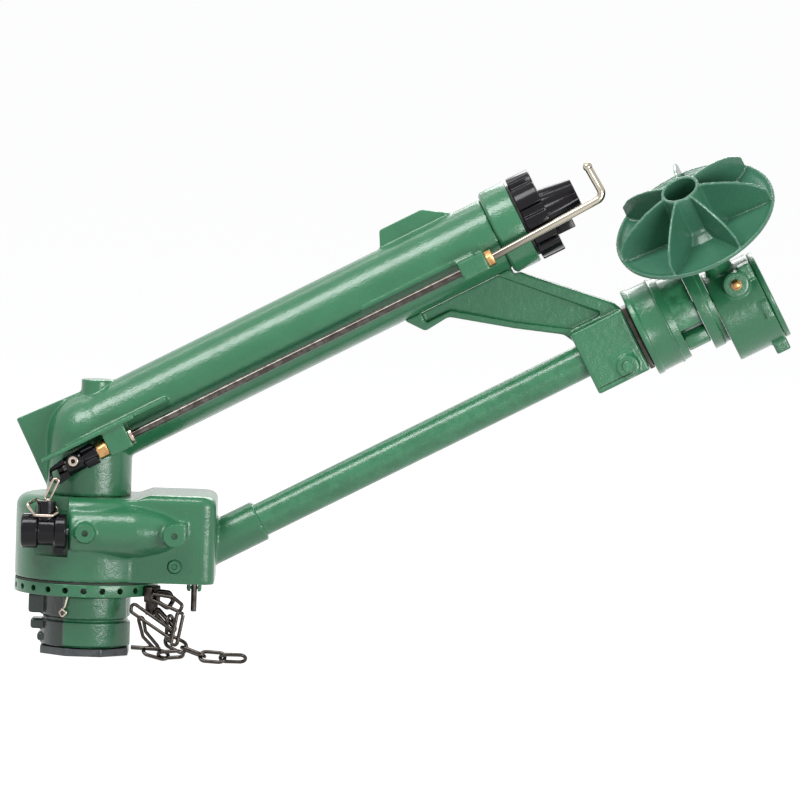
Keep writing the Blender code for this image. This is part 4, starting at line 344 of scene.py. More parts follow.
def block(x, y, z, place=UPRIGHT):
    """A cube brought to three (low, high) pairs."""
    let_go()
    middle = [(low + high) / 2 for low, high in (x, y, z)]
    size = [high - low for low, high in (x, y, z)]
    bpy.ops.mesh.primitive_cube_add(size=1, location=middle, scale=size)
    bpy.ops.object.transform_apply(location=True, rotation=True, scale=True)
    return settle(bpy.context.object, place)


def corners(points, radius, steps=5, closed=False):
    """Rounds each corner of a path with an arc."""
    points = [Vector(p) for p in points]
    count = len(points)
    out = []
    for n, corner in enumerate(points):
        if not closed and n in (0, count - 1):
            out.append(corner)
            continue
        before = (points[n - 1] - corner).normalized()
        after = (points[(n + 1) % count] - corner).normalized()
        half = before.angle(after) / 2
        start = corner + before * radius / tan(half)
        end = corner + after * radius / tan(half)
        centre = corner + (before + after).normalized() * radius / sin(half)
        for k in range(steps + 1):
            arm = (start - centre).lerp(end - centre, k / steps)
            out.append(centre + arm.normalized() * radius)
    return out


def cushion(outline, low, high, rounding, steps=5):
    """A plate whose top edge is rounded, by extruding and resizing the outline step by step."""
    item = plate(outline, low, high - rounding)
    xs = [x for x, y in outline]
    ys = [y for x, y in outline]
    middle = Vector(((min(xs) + max(xs)) / 2, (min(ys) + max(ys)) / 2, 0))
    width = max(xs) - min(xs)
    depth = max(ys) - min(ys)
    inset, height = 0.0, high - rounding
    pick(item)
    bpy.ops.object.mode_set(mode="EDIT")
    bpy.ops.mesh.select_mode(type="FACE")
    bpy.ops.mesh.select_all(action="DESELECT")
    bpy.ops.object.mode_set(mode="OBJECT")
    for face in item.data.polygons:
        face.select = face.normal.z > 0.9
    bpy.ops.object.mode_set(mode="EDIT")
    for n in range(1, steps + 1):
        angle = n * pi / 2 / steps
        next_inset = rounding * (1 - cos(angle))
        next_height = high - rounding * (1 - sin(angle))
        step = (0, 0, next_height - height)
        bpy.ops.mesh.extrude_region_move(TRANSFORM_OT_translate={"value": step})
        share = [(size - 2 * next_inset) / (size - 2 * inset) for size in (width, depth)]
        centre = (middle.x, middle.y, next_height)
        bpy.ops.transform.resize(value=(*share, 1), center_override=centre)
        inset, height = next_inset, next_height
    bpy.ops.mesh.select_mode(type="VERT")
    return settle(item, UPRIGHT)


def soft_outline(points, radius, steps=5):
    return [(p.x, p.y) for p in corners([(x, y, 0) for x, y in points], radius, steps, True)]


def wire(path, radius, place=UPRIGHT, closed=False, smooth=5):
    """A round bar along a path."""
    let_go()
    curve = bpy.data.curves.new("wire", "CURVE")
    curve.dimensions = "3D"
    curve.bevel_depth = radius
    curve.bevel_resolution = smooth
    curve.use_fill_caps = not closed
    line = curve.splines.new("POLY")
    line.points.add(len(path) - 1)
    for point, place_at in zip(line.points, path):
        point.co = (*place_at, 1)
    line.use_cyclic_u = closed
    item = bpy.data.objects.new("wire", curve)
    bpy.context.collection.objects.link(item)
    pick(item)
    bpy.ops.object.convert(target="MESH")
    return settle(bpy.context.object, place)


def loop(points, bend, thickness, place=UPRIGHT, steps=5):
    """A closed loop of wire with rounded corners."""
    return wire(corners(points, bend, steps, True), thickness, place, True)


def use(item, kind, **values):
    """Adds a modifier, sets it and applies it."""
    step = item.modifiers.new(kind.lower(), kind)
    for name, value in values.items():
        setattr(step, name, value)
    pick(item)
    bpy.ops.object.modifier_apply(modifier=step.name)
    return item


def combine(item, way, others):
    """Joins, cuts or limits a piece by others, which are used up."""
    for other in others:
        use(item, "BOOLEAN", operation=way, solver="EXACT", object=other)
        bpy.data.objects.remove(other)
    return item


def fuse(item, *others):
    return combine(item, "UNION", others)


def cut(item, *others):
    return combine(item, "DIFFERENCE", others)


def keep_inside(item, *limits):
    return combine(item, "INTERSECT", limits)


def ease(item, width, segments=3, angle=30):
    """Rounds the sharp edges."""
    return use(
        item,
        "BEVEL",
        width=width,
        segments=segments,
        limit_method="ANGLE",
        angle_limit=radians(angle),
        use_clamp_overlap=True,
        miter_outer="MITER_ARC",
    )


def cast(item, grain, turns=3):
    """Gives a joined shape the soft corners of a sand casting."""
    use(item, "REMESH", mode="VOXEL", voxel_size=grain, use_smooth_shade=True)
    use(item, "SMOOTH", factor=0.5, iterations=turns)
    return item


def dress(item, name, material, body, *stands_for, angle=35, slot=None):
    """Names a finished piece, paints it and hands it to its body."""
    item.name = name
    item.data.name = name
    pick(item)
    bpy.ops.object.shade_smooth_by_angle(angle=radians(angle))
    item.data.materials.clear()
    item.data.materials.append(material)
    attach(item, body)
    if stands_for:
        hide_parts(*stands_for)
    return item


# Shader groups
def new_group(name, inputs, outputs):
    group = bpy.data.node_groups.new(name, "ShaderNodeTree")
    for label, default in inputs:
        socket = group.interface.new_socket(label, in_out="INPUT", socket_type="NodeSocketFloat")
        socket.default_value = default
    for label in outputs:
        group.interface.new_socket(label, in_out="OUTPUT", socket_type="NodeSocketFloat")
    return group, group.nodes.new("NodeGroupInput"), group.nodes.new("NodeGroupOutput")


def link(tree, start, end):
    tree.links.new(start, end)


def noise(tree, coordinates, scale, detail=4, roughness=0.55, distortion=0.0):
    node = tree.nodes.new("ShaderNodeTexNoise")
    node.inputs["Detail"].default_value = detail
    node.inputs["Roughness"].default_value = roughness
    node.inputs["Distortion"].default_value = distortion
    if isinstance(scale, (int, float)):
        node.inputs["Scale"].default_value = scale
    else:
        link(tree, scale, node.inputs["Scale"])
    link(tree, coordinates, node.inputs["Vector"])
    return node.outputs["Fac"]


def span(tree, value, low, high, to_low=0.0, to_high=1.0, smooth=True):
    """Maps a value from low..high to to_low..to_high."""
    node = tree.nodes.new("ShaderNodeMapRange")
    node.interpolation_type = "SMOOTHSTEP" if smooth else "LINEAR"
    ends = {"From Min": low, "From Max": high, "To Min": to_low, "To Max": to_high}
    for label, number in ends.items():
        node.inputs[label].default_value = number
    link(tree, value, node.inputs["Value"])
    return node.outputs["Result"]


def sums(tree, kind, first, second):
    node = tree.nodes.new("ShaderNodeMath")
    node.operation = kind
    for socket, value in zip(node.inputs, (first, second)):
        if isinstance(value, (int, float)):
            socket.default_value = value
        else:
            link(tree, value, socket)
    return node.outputs[0]


def times(tree, first, second):
    return sums(tree, "MULTIPLY", first, second)


def blended(tree, share, first, second):
    node = tree.nodes.new("ShaderNodeMix")
    node.data_type = "RGBA"
    sockets = [s for s in node.inputs if s.type == "RGBA"]
    if isinstance(share, (int, float)):
        node.inputs[0].default_value = share
    else:
        link(tree, share, node.inputs[0])
    for socket, value in zip(sockets, (first, second)):
        if isinstance(value, tuple):
            socket.default_value = (*value, 1)
        else:
            link(tree, value, socket)
    return next(s for s in node.outputs if s.type == "RGBA")


def surface_place(tree):
    """Where each point of the surface lies, by X, Y and Z."""
    at = tree.nodes.new("ShaderNodeTexCoord").outputs["Object"]
    place = tree.nodes.new("ShaderNodeSeparateXYZ")
    link(tree, at, place.inputs[0])
    return place.outputs


def make_cast_group():
    """Relief of enamel over sand casting, and a slow patchiness for its colour."""
    group, start, end = new_group(
        "enamel_over_casting",
        [("Grain", 1.0), ("Waves", 1.0)],
        ["Height", "Patches", "Specks"],
    )
    at = group.nodes.new("ShaderNodeTexCoord").outputs["Object"]
    fine = noise(group, at, 520, 3, 0.6)
    middle = noise(group, at, 150, 4, 0.55)
    slow = noise(group, at, 26, 2, 0.5)
    height = times(group, fine, start.outputs["Grain"])
    middle = times(group, middle, 2.2)
    waves = times(group, slow, start.outputs["Waves"])
    waves = times(group, waves, 3.0)
    height = sums(group, "ADD", sums(group, "ADD", height, middle), waves)
    link(group, height, end.inputs["Height"])
    patches = noise(group, at, 17, 4, 0.6, 0.6)
    link(group, span(group, patches, 0.25, 0.78, smooth=False), end.inputs["Patches"])
    specks = noise(group, at, 380, 2, 0.5)
    link(group, span(group, specks, 0.70, 0.78), end.inputs["Specks"])
    return group


def make_wear_and_shade_group():
    """Masks of raised edges, for wear, and of hollows, for painted shade, from the mesh's own
    curvature.
    """
    group, start, end = new_group(
        "worn_edges_and_shaded_hollows",
        [("Sharpness", 1.0)],
        ["Edges", "Painted_shade"],
    )
    bend = group.nodes.new("ShaderNodeNewGeometry").outputs["Pointiness"]
    at = group.nodes.new("ShaderNodeTexCoord").outputs["Object"]
    broken = span(group, noise(group, at, 90, 5, 0.65), 0.40, 0.62)
    edges = times(group, span(group, bend, 0.515, 0.60), broken)
    link(group, times(group, edges, start.outputs["Sharpness"]), end.inputs["Edges"])
    # Mask for painted shade in hollows and creases
    hollows = span(group, bend, 0.475, 0.41)
    link(group, times(group, hollows, start.outputs["Sharpness"]), end.inputs["Painted_shade"])
    return group


def make_brush_group():
    """Fine turning marks and blotches of handled metal."""
    group, start, end = new_group(
        "machined_metal",
        [("Marks", 1.0)],
        ["Height", "Stain", "Roughness"],
    )
    at = group.nodes.new("ShaderNodeTexCoord").outputs["Object"]
    fine = noise(group, at, 240, 2, 0.5)
    link(group, times(group, fine, start.outputs["Marks"]), end.inputs["Height"])
    stain = noise(group, at, 120, 5, 0.65, 0.4)
    link(group, span(group, stain, 0.42, 0.70), end.inputs["Stain"])
    dullness = noise(group, at, 260, 4, 0.6)
    link(group, span(group, dullness, 0.3, 0.7), end.inputs["Roughness"])
    return group


CAST_GROUP = make_cast_group()
# Worn edges, and hollows darkened with painted shade
WEAR_AND_SHADE_GROUP = make_wear_and_shade_group()
BRUSH_GROUP = make_brush_group()


def new_material(name, metallic=0.0, coat=0.0, coat_roughness=0.1):
    material = bpy.data.materials.new(name)
    material.use_nodes = True
    shader = material.node_tree.nodes["Principled BSDF"]
    shader.inputs["Metallic"].default_value = metallic
    shader.inputs["Coat Weight"].default_value = coat
    shader.inputs["Coat Roughness"].default_value = coat_roughness
    return material, material.node_tree, shader


def placed_group(tree, group, **values):
    node = tree.nodes.new("ShaderNodeGroup")
    node.node_tree = group
    for label, value in values.items():
        node.inputs[label].default_value = value
    return node


def relief(tree, shader, height, distance):
    bump = tree.nodes.new("ShaderNodeBump")
    bump.inputs["Strength"].default_value = 1.0
    bump.inputs["Distance"].default_value = distance
    link(tree, height, bump.inputs["Height"])
    link(tree, bump.outputs["Normal"], shader.inputs["Normal"])


def enamel(name, dark, light, waves=1.0, wear_and_shade=1.0, dark_left_of=None):
    """Glossy enamel over a casting: patchy green, paler worn edges, and painted shade that darkens
    the hollows.

    What lies left of the given x is darkened, less so towards the back.
    """
    material, tree, shader = new_material(name, coat=0.20, coat_roughness=0.12)
    surface = placed_group(tree, CAST_GROUP, Grain=1.0, Waves=waves)
    # The edge strength sets both the worn edges and the painted shade in the hollows
    bends = placed_group(tree, WEAR_AND_SHADE_GROUP, Sharpness=wear_and_shade)
    colour = blended(tree, surface.outputs["Patches"], dark, light)
    pale = tuple(min(1, 1.7 * c + 0.02) for c in light)
    colour = blended(tree, times(tree, bends.outputs["Edges"], 0.55), colour, pale)
    # Painted shade: hollows and creases darkened as if shadowed; the random specks share this dark
    # colour
    shade_and_speck_colour = tuple(0.35 * c for c in dark)
    colour = blended(tree, times(tree, bends.outputs["Painted_shade"], 0.85), colour, shade_and_speck_colour)
    colour = blended(tree, times(tree, surface.outputs["Specks"], 0.25), colour, shade_and_speck_colour)
    # Darker colour left of the given x, fading out towards the back
    if dark_left_of is not None:
        place = surface_place(tree)
        left_darkening = span(tree, place["X"], dark_left_of + 0.001, dark_left_of - 0.001, 0.0, 0.9)
        front = span(tree, place["Y"], 0.035, -0.005)
        colour = blended(tree, times(tree, left_darkening, front), colour, LEFT_DARK)
    link(tree, colour, shader.inputs["Base Color"])
    rough = span(tree, surface.outputs["Patches"], 0.0, 1.0, 0.27, 0.20, False)
    link(tree, rough, shader.inputs["Roughness"])
    relief(tree, shader, surface.outputs["Height"], 0.00022)
    return material


def metal(name, base, stained, low, high, marks=1.0, painted_lit_from=None):
    """Plated, turned or forged metal, stained in patches and bright on its edges.

    What lies right of the given x takes a paler colour: painted light where the rod looks lit.
    """
    material, tree, shader = new_material(name, metallic=1.0)
    surface = placed_group(tree, BRUSH_GROUP, Marks=marks)
    bends = placed_group(tree, WEAR_AND_SHADE_GROUP, Sharpness=1.0)
    colour = blended(tree, times(tree, surface.outputs["Stain"], 0.6), base, stained)
    bright = tuple(min(1, 1.5 * c + 0.05) for c in base)
    colour = blended(tree, times(tree, bends.outputs["Edges"], 0.7), colour, bright)
    # Painted light: a paler colour right of the given x
    if painted_lit_from is not None:
        painted_lit = span(tree, surface_place(tree)["X"], painted_lit_from - 0.06, painted_lit_from + 0.06)
        colour = blended(tree, painted_lit, colour, PAINTED_LIT_NICKEL)
    link(tree, colour, shader.inputs["Base Color"])
    rough = span(tree, surface.outputs["Roughness"], 0.0, 1.0, low, high, False)
    link(tree, rough, shader.inputs["Roughness"])
    relief(tree, shader, surface.outputs["Height"], 0.00004)
    return material


def moulded(name, base, worn, rough, specular=0.5):
    """Moulded plastic or rubber: near-even colour, faint waviness, scuffed edges."""
    material, tree, shader = new_material(name, coat_roughness=0.08)
    shader.inputs["Specular IOR Level"].default_value = specular
    surface = placed_group(tree, CAST_GROUP, Grain=0.25, Waves=0.35)
    bends = placed_group(tree, WEAR_AND_SHADE_GROUP, Sharpness=1.0)
    colour = blended(tree, times(tree, surface.outputs["Patches"], 0.5), base, worn)
    colour = blended(tree, times(tree, bends.outputs["Edges"], 0.5), colour, worn)
    link(tree, colour, shader.inputs["Base Color"])
    spread = span(tree, surface.outputs["Patches"], 0.0, 1.0, rough, rough + 0.08, False)
    link(tree, spread, shader.inputs["Roughness"])
    relief(tree, shader, surface.outputs["Height"], 0.00006)
    return material


GREEN_DARK = (0.028, 0.168, 0.075)
GREEN_LIGHT = (0.040, 0.212, 0.097)
# Dark colour for the sleeve's left side
LEFT_DARK = (0.010, 0.015, 0.015)
GREEN = enamel("sprayed_enamel", GREEN_DARK, GREEN_LIGHT)
LEFT_DARK_GREEN = enamel("left_dark_enamel", GREEN_DARK, GREEN_LIGHT, dark_left_of=PANEL_LEFT)
TUBE_DARK = (0.031, 0.178, 0.080)
TUBE_LIGHT = (0.036, 0.196, 0.090)
TUBE_GREEN = enamel("smooth_enamel", TUBE_DARK, TUBE_LIGHT, waves=0.4, wear_and_shade=0.5)
WHEEL_GREEN = enamel("wheel_enamel", (0.050, 0.180, 0.110), (0.072, 0.228, 0.140), wear_and_shade=0.7)
BLACK = moulded("gloss_black", (0.004, 0.003, 0.005), (0.011, 0.009, 0.013), 0.11, 0.24)
NICKEL = metal("warm_nickel", (0.52, 0.44, 0.37), (0.30, 0.22, 0.16), 0.18, 0.28, 0.3)
# Painted light and painted shade for the rod: a paler colour for its lit right end, and a dark,
# shaded copy of the nickel for the rest
PAINTED_LIT_NICKEL = (0.46, 0.42, 0.34)
SHADED = (0.070, 0.062, 0.055)
DARK_NICKEL = metal("shaded_nickel", SHADED, (0.05, 0.04, 0.03), 0.14, 0.20, 0.2, painted_lit_from=0.42)
BRASS = metal("yellow_brass", (0.44, 0.25, 0.10), (0.22, 0.11, 0.045), 0.22, 0.34)
STEEL = metal("dull_steel", (0.085, 0.092, 0.095), (0.045, 0.046, 0.050), 0.30, 0.48)
CHAIN = metal("black_steel", (0.060, 0.052, 0.046), (0.020, 0.016, 0.013), 0.13, 0.24, 0.4)
BRONZE = metal("bearing_bronze", (0.42, 0.26, 0.12), (0.20, 0.12, 0.06), 0.28, 0.45)
RUBBER = moulded("soft_rubber", (0.016, 0.016, 0.016), (0.035, 0.034, 0.033), 0.62)
FINISHES = {
    "green_enamel": GREEN,
    "black_plastic": BLACK,
    "nickel_plate": NICKEL,
    "brass": BRASS,
    "grey_steel": STEEL,
    "dark_steel": CHAIN,
    "bronze": BRONZE,
    "rubber": RUBBER,
}
SLOT_OF = {finish.name: slot for slot, finish in FINISHES.items()}
for finish in (LEFT_DARK_GREEN, TUBE_GREEN, WHEEL_GREEN):
    SLOT_OF[finish.name] = "green_enamel"
SLOT_OF[DARK_NICKEL.name] = "nickel_plate"

# The CAD pieces that stay get the same finishes
for entry in frame["record"]["subparts"]:
    item = nodes[entry["node"]]
    item.data.materials.clear()
    item.data.materials.append(FINISHES[entry["material_slot"]])

# Inlet flange
inlet = plate(regular(8, FOOT_RADIUS, pi / 8), 0.0, FOOT_HEIGHT)
ease(inlet, 0.0012)
cut(inlet, rod(WATER_BORE, -0.01, 0.02))
dress(inlet, "foot_flange", STEEL, "base", "inlet_flange")

# Sleeve over the riser, with front panels and side lugs
low = FOOT_HEIGHT + FIT
high = SECTOR_BOTTOM - FIT
sleeve_steps = [
    (SLEEVE_BORE, low),
    (SLEEVE_RADIUS - 0.002, low),
    (SLEEVE_RADIUS, low + 0.0015),
    (SLEEVE_RADIUS, 0.0335),
    (SLEEVE_RADIUS - SLEEVE_GROOVE, 0.0345),
    (SLEEVE_RADIUS - SLEEVE_GROOVE, 0.0375),
    (SLEEVE_RADIUS, 0.0390),
    (SLEEVE_RADIUS, high),
    (SLEEVE_BORE, high),
]
sleeve = turned(sleeve_steps, sides=80, hollow=True)
panels = []
# Reach, right end, bottom and top
PANELS = ((0.0475, 0.060, 0.0105, 0.0340), (0.0468, 0.0415, 0.0375, 0.0600))
for reach, right, bottom, top in PANELS:
    panel = rod(reach, bottom, top, sides=96)
    keep_inside(panel, block((PANEL_LEFT, right), (-0.060, -0.012), (bottom - 0.01, top + 0.01)))
    ease(panel, 0.0012)
    panels.append(panel)
lugs = []
# Bottom, top and share of the full reach
LUGS = ((0.0120, 0.0205, 0.2), (0.0240, 0.0345, 0.75), (0.0400, 0.0603, 0.95))
for lug_low, lug_high, share in LUGS:
    reach = SLEEVE_RADIUS + LUG_REACH * share
    lug = block((-reach, -SLEEVE_BORE - 0.001), (-0.016, 0.010), (lug_low, lug_high))
    ease(lug, 0.0028, 4)
    lugs.append(lug)
fuse(sleeve, *panels, *lugs)
cast(sleeve, 0.0009, 3)
dress(sleeve, "riser_sleeve", LEFT_DARK_GREEN, "base", "base_sleeve")

# Sector ring with its holes
sector = ring(SECTOR_RADIUS, SLEEVE_BORE, SECTOR_BOTTOM, SECTOR_TOP, sides=144)
ease(sector, 0.0008)
middle = (SECTOR_BOTTOM + SECTOR_TOP) / 2
for n in range(STOP_HOLES):
    angle = 2 * pi * n / STOP_HOLES
    hole_place = axes((0, 0, middle), UP, (cos(angle), sin(angle), 0))
    cut(sector, rod(STOP_HOLE_RADIUS, 0.058, 0.075, hole_place, 24))
dress(sector, "hole_ring", GREEN, "base", "sector_ring")

# Black felt that closes the gap above the ring
felt = ring(FELT_OUTER, FELT_INNER, SECTOR_TOP + FIT, FELT_TOP, sides=96)
dress(felt, "felt_seal", RUBBER, "base")

# Wire clip on the sleeve
clip_path = [
    (-0.0165, -0.0462, 0.0608),
    (-0.0190, -0.0462, 0.0500),
    (-0.0245, -0.0438, 0.0440),
    (-0.0215, -0.0452, 0.0395),
    (-0.0170, -0.0472, 0.0440),
    (-0.0220, -0.0462, 0.0480),
]
clip = wire(corners(clip_path, 0.0012, 4), 0.0011)
dress(clip, "sleeve_clip", NICKEL, "base")

# Gear housing: drum, box, worm bulge, bosses, spigot and trip hanger
drum_steps = [(DRUM_RADIUS - 0.001, HOUSING_BOTTOM), (DRUM_RADIUS, HOUSING_BOTTOM + 0.002)]
for n in range(DRUM_STEPS + 1):
    angle = n * pi / 2 / DRUM_STEPS
    across = DRUM_RADIUS - DRUM_ROUND + DRUM_ROUND * cos(angle)
    drum_steps.append((across, HOUSING_TOP - DRUM_ROUND + DRUM_ROUND * sin(angle)))
housing = turned(drum_steps, sides=96)
plan = [(0.020, -BOX_FRONT), (BOX_RIGHT, -BOX_FRONT), (BOX_RIGHT, BOX_FRONT), (0.020, BOX_FRONT)]
box = cushion(soft_outline(plan, BOX_CORNER), HOUSING_BOTTOM, BOX_TOP, BOX_ROUND)
front_view = [
    (0.010, HOUSING_BOTTOM),
    (BOX_RIGHT + 0.01, HOUSING_BOTTOM),
    (BOX_RIGHT + 0.01, BOX_TOP + 0.01),
    (BOX_LEFT + 0.030, BOX_TOP + 0.01),
    (BOX_LEFT + 0.022, BOX_TOP - 0.0005),
    (BOX_LEFT + 0.010, HOUSING_TOP - 0.001),
    (0.010, HOUSING_TOP - 0.001),
]
front_view = soft_outline(front_view, 0.0045)
keep_inside(box, plate(front_view, -0.1, 0.1, FACING))
bulge_steps = [
    (BULGE_RADIUS - 0.006, BULGE_LEFT),
    (BULGE_RADIUS - 0.0015, BULGE_LEFT + 0.002),
    (BULGE_RADIUS, BULGE_LEFT + 0.006),
    (BULGE_RADIUS, 0.050),
    (BULGE_RADIUS - 0.0015, 0.058),
    (0.0200, 0.072),
    (0.0180, 0.0785),
    (0.0140, 0.0865),
    (0.0100, BULGE_RIGHT - 0.001),
]
bulge = turned(bulge_steps, WORM_TURN)
right_boss = rod(RIGHT_BOSS_RADIUS, -WORM_Y, WORM_BOSS_REACH, UPPER_CROSS)
pad_outline = [
    (-0.004, -0.001),
    (RIGHT_BOSS_RADIUS, -0.003),
    (RIGHT_BOSS_RADIUS, 0.0118),
    (-0.006, 0.0112),
]
pad = plate(soft_outline(pad_outline, 0.0018), -WORM_Y, WORM_BOSS_REACH, UPPER_CROSS)
left_boss = rod(LEFT_BOSS_RADIUS, -WORM_Y, WORM_BOSS_REACH - 0.002, LEFT_BOSS)
spigot = rod(SPIGOT_RADIUS, 0.050, SPIGOT_END, TUBE_TURN)
hanger_x = (TRIP_X - HANGER_HALF[0], TRIP_X + HANGER_HALF[0])
hanger_y = (TRIP_Y - HANGER_HALF[1], TRIP_Y + HANGER_HALF[1])
hanger = block(hanger_x, hanger_y, (TRIP_Z - 0.0040, TRIP_Z + 0.0070))
fuse(housing, box, bulge, right_boss, pad, left_boss, spigot, hanger)
cast(housing, 0.0016, 4)
POCKET_BACK = ROCKER_Y + 0.0195
pocket = block((-0.09, BULGE_LEFT), (-0.12, POCKET_BACK), (WORM_Z - 0.026, 0.19))
pocket_wall = block((-0.09, BULGE_LEFT + 0.004), (-0.12, POCKET_BACK + 0.003), (0.07, 0.19))
drum_room = rod(DRUM_RADIUS - HOUSING_WALL, 0.06, HOUSING_TOP - HOUSING_WALL, sides=72)
cut(drum_room, pocket_wall)
inside = BOX_FRONT - HOUSING_WALL
MID_FRONT = -0.023
MID_REAR = -0.015
room_width = (BOX_LEFT, BOX_RIGHT - HOUSING_WALL)
room_height = (0.06, BOX_TOP - HOUSING_WALL)
front_room = block(room_width, (-inside, MID_FRONT), room_height)
rear_room = block(room_width, (MID_REAR, inside), room_height)
bulge_room_steps = [
    (BULGE_RADIUS - 0.0045, BULGE_LEFT + 0.0045),
    (BULGE_RADIUS - 0.0045, 0.0495),
    (0.0190, 0.058),
    (0.0158, 0.072),
    (0.0148, 0.0785),
    (0.0105, 0.0865),
    (0.0100, 0.0915),
]
bulge_room = turned(bulge_room_steps, WORM_TURN)
upper_bore = rod(JOURNAL_BORE, 0.010, 0.0863, UPPER_CROSS)
lower_bore = rod(JOURNAL_BORE, 0.010, 0.050, LOWER_CROSS)
bevel_room = rod(0.0147, 0.040, 0.0522, UPPER_CROSS)
plug_bore = rod(0.0073, 0.045, 0.12, LOWER_CROSS)
worm_bore = rod(JOURNAL_BORE, -0.03, 0, WORM_TURN)
oil_hole = rod(GREASE_BORE, WORM_BOSS_REACH - 0.008, 0.12, LEFT_BOSS)
boss_hole = rod(GREASE_BORE, WORM_BOSS_REACH - 0.0032, 0.12, UPPER_CROSS)
top_bore = rod(0.0378, 0.14, 0.19)
spigot_bore = rod(TUBE_RADIUS + FIT, TUBE_START, 0.2, TUBE_TURN)
shaft_bore = rod(0.0125, 0.030, 0.2, TUBE_TURN)
pin_bore = rod(JOURNAL_BORE, -0.03, 0, ROCKER_TURN)
trip_slot_x = (TRIP_X - 0.0036, TRIP_X + 0.0036)
trip_slot = block(trip_slot_x, (-0.04, 0.0), (0.05, HOUSING_BOTTOM - 0.0007))
trip_hole = rod(0.0019, -0.02, 0.02, TRIP_TURN)
cut(housing, drum_room, front_room, rear_room, bulge_room, pocket)
cut(housing, upper_bore, lower_bore, bevel_room, plug_bore, worm_bore)
cut(housing, oil_hole, boss_hole, top_bore, spigot_bore, shaft_bore, pin_bore)
cut(housing, trip_slot, trip_hole)
dress(housing, "worm_housing", GREEN, "head", "gear_housing")

# Round plug at the lower cross shaft
plug_steps = [
    (PLUG_RADIUS, inside),
    (PLUG_RADIUS, BOX_FRONT),
    (PLUG_RADIUS - 0.0013, BOX_FRONT + PLUG_REACH),
    (0.0030, BOX_FRONT + PLUG_REACH),
    (0.0022, BOX_FRONT + 0.0004),
]
plug = turned(plug_steps, LOWER_CROSS, 40)
dress(plug, "shaft_plug", GREEN, "head", "round_plug")

# Elbow, barrel, fins, shelf and rod blocks in one casting
elbow_bottom = HOUSING_TOP + FIT


def capsule(radius, bottom):
    """A round post with a dome at the elbow. The dome stops short of its pole."""
    steps = [(radius, bottom)]
    for n in range(DOME_STEPS):
        angle = n * pi / (2 * DOME_STEPS - 1)
        steps.append((radius * cos(angle), ELBOW_HEIGHT - 0.002 + radius * sin(angle)))
    return turned(steps, sides=80)


casting = capsule(ELBOW_RADIUS, elbow_bottom)
barrel = rod(BARREL_RADIUS, 0, BARREL_LENGTH, BARREL_TURN, 96)
fin_outline = [(-0.060, 0.0465), (0.009, 0.0425), (0.020, 0), (-0.020, -0.045), (-0.0625, -0.0295)]
rear_fin = plate(fin_outline, -REAR_FIN_HALF, REAR_FIN_HALF, BARREL_SIDE)
fin_top = BARREL_RADIUS + 0.0168
top_outline = [(0.340, 0.034), (0.428, 0.034), (0.396, fin_top), (0.349, fin_top)]
top_fin = plate(top_outline, -TOP_FIN_HALF, TOP_FIN_HALF, BARREL_SIDE)
shelf = block((-0.052, 0.086), (-0.002, 0.002), (ELBOW_BORE + 0.001, 0.064), BARREL_SIDE)
shelf_cut = block((0.050, 0.1), (-0.01, 0.01), (0.050, 0.08), BARREL_SIDE)
cut(shelf, shelf_cut)
ledge = block((0.300, 0.424), (-0.009, -0.004), (BARREL_BORE + 0.001, 0.0395), BARREL_SIDE)
plug_boss = rod(0.0155, 0.235, 0.275, axes((0.0050, 0, 0), RIGHT, UP))
block_depth = (0.034, ROD_SIDE + 0.009)
low_block = block(LOW_BLOCK, (-ROD_DROP - 0.010, 0.001), block_depth, BARREL_SIDE)
high_block = block(HIGH_BLOCK, (-ROD_DROP - 0.009, -ROD_DROP + 0.009), block_depth, BARREL_SIDE)
fuse(casting, barrel, rear_fin, top_fin, plug_boss, low_block, high_block, shelf, ledge)
cast(casting, 0.0015, 3)
elbow_room = capsule(ELBOW_BORE, 0.10)
barrel_room = rod(BARREL_BORE, 0, 0.5, BARREL_TURN)
rod_hole = rod(ROD_RADIUS + 0.0005, 0, 0.45, ROD_TURN)
cut(casting, elbow_room, barrel_room, rod_hole)
dress(casting, "elbow_and_barrel", GREEN, "head", "barrel_casting")

# End ring of the barrel
end_steps = [
    (BARREL_BORE, BARREL_LENGTH + FIT),
    (END_RING_RADIUS - 0.003, BARREL_LENGTH + FIT),
    (END_RING_RADIUS, BARREL_LENGTH + 0.003),
    (END_RING_RADIUS, BARREL_LENGTH + END_RING_LENGTH),
    (BARREL_BORE, BARREL_LENGTH + END_RING_LENGTH),
]
end_ring = turned(end_steps, BARREL_TURN, 96, True)
ease(end_ring, 0.0009)
dress(end_ring, "end_ring", GREEN, "head", "barrel_ring")

# Nozzle nut with eight lugs, each by angle and radius
NUT_LUG = (
    (-0.27, 0.0438),
    (-0.14, 0.0447),
    (0, 0.0450),
    (0.14, 0.0447),
    (0.27, 0.0438),
    (0.30, NUT_VALLEY),
    (0.39, NUT_VALLEY),
    (0.48, NUT_VALLEY),
)
nut_outline = []
for n in range(NUT_LUGS):
    middle = 2 * pi * n / NUT_LUGS + NUT_PHASE
    for offset, radius in NUT_LUG:
        nut_outline.append((radius * cos(middle + offset), radius * sin(middle + offset)))
nut = plate(nut_outline, NUT_START, NOZZLE_START, BARREL_TURN)
ease(nut, 0.0011, 3, 35)
cut(nut, rod(NUT_BORE, 0.4, 0.6, BARREL_TURN))
dress(nut, "lugged_nut", BLACK, "head", "nozzle_nut")

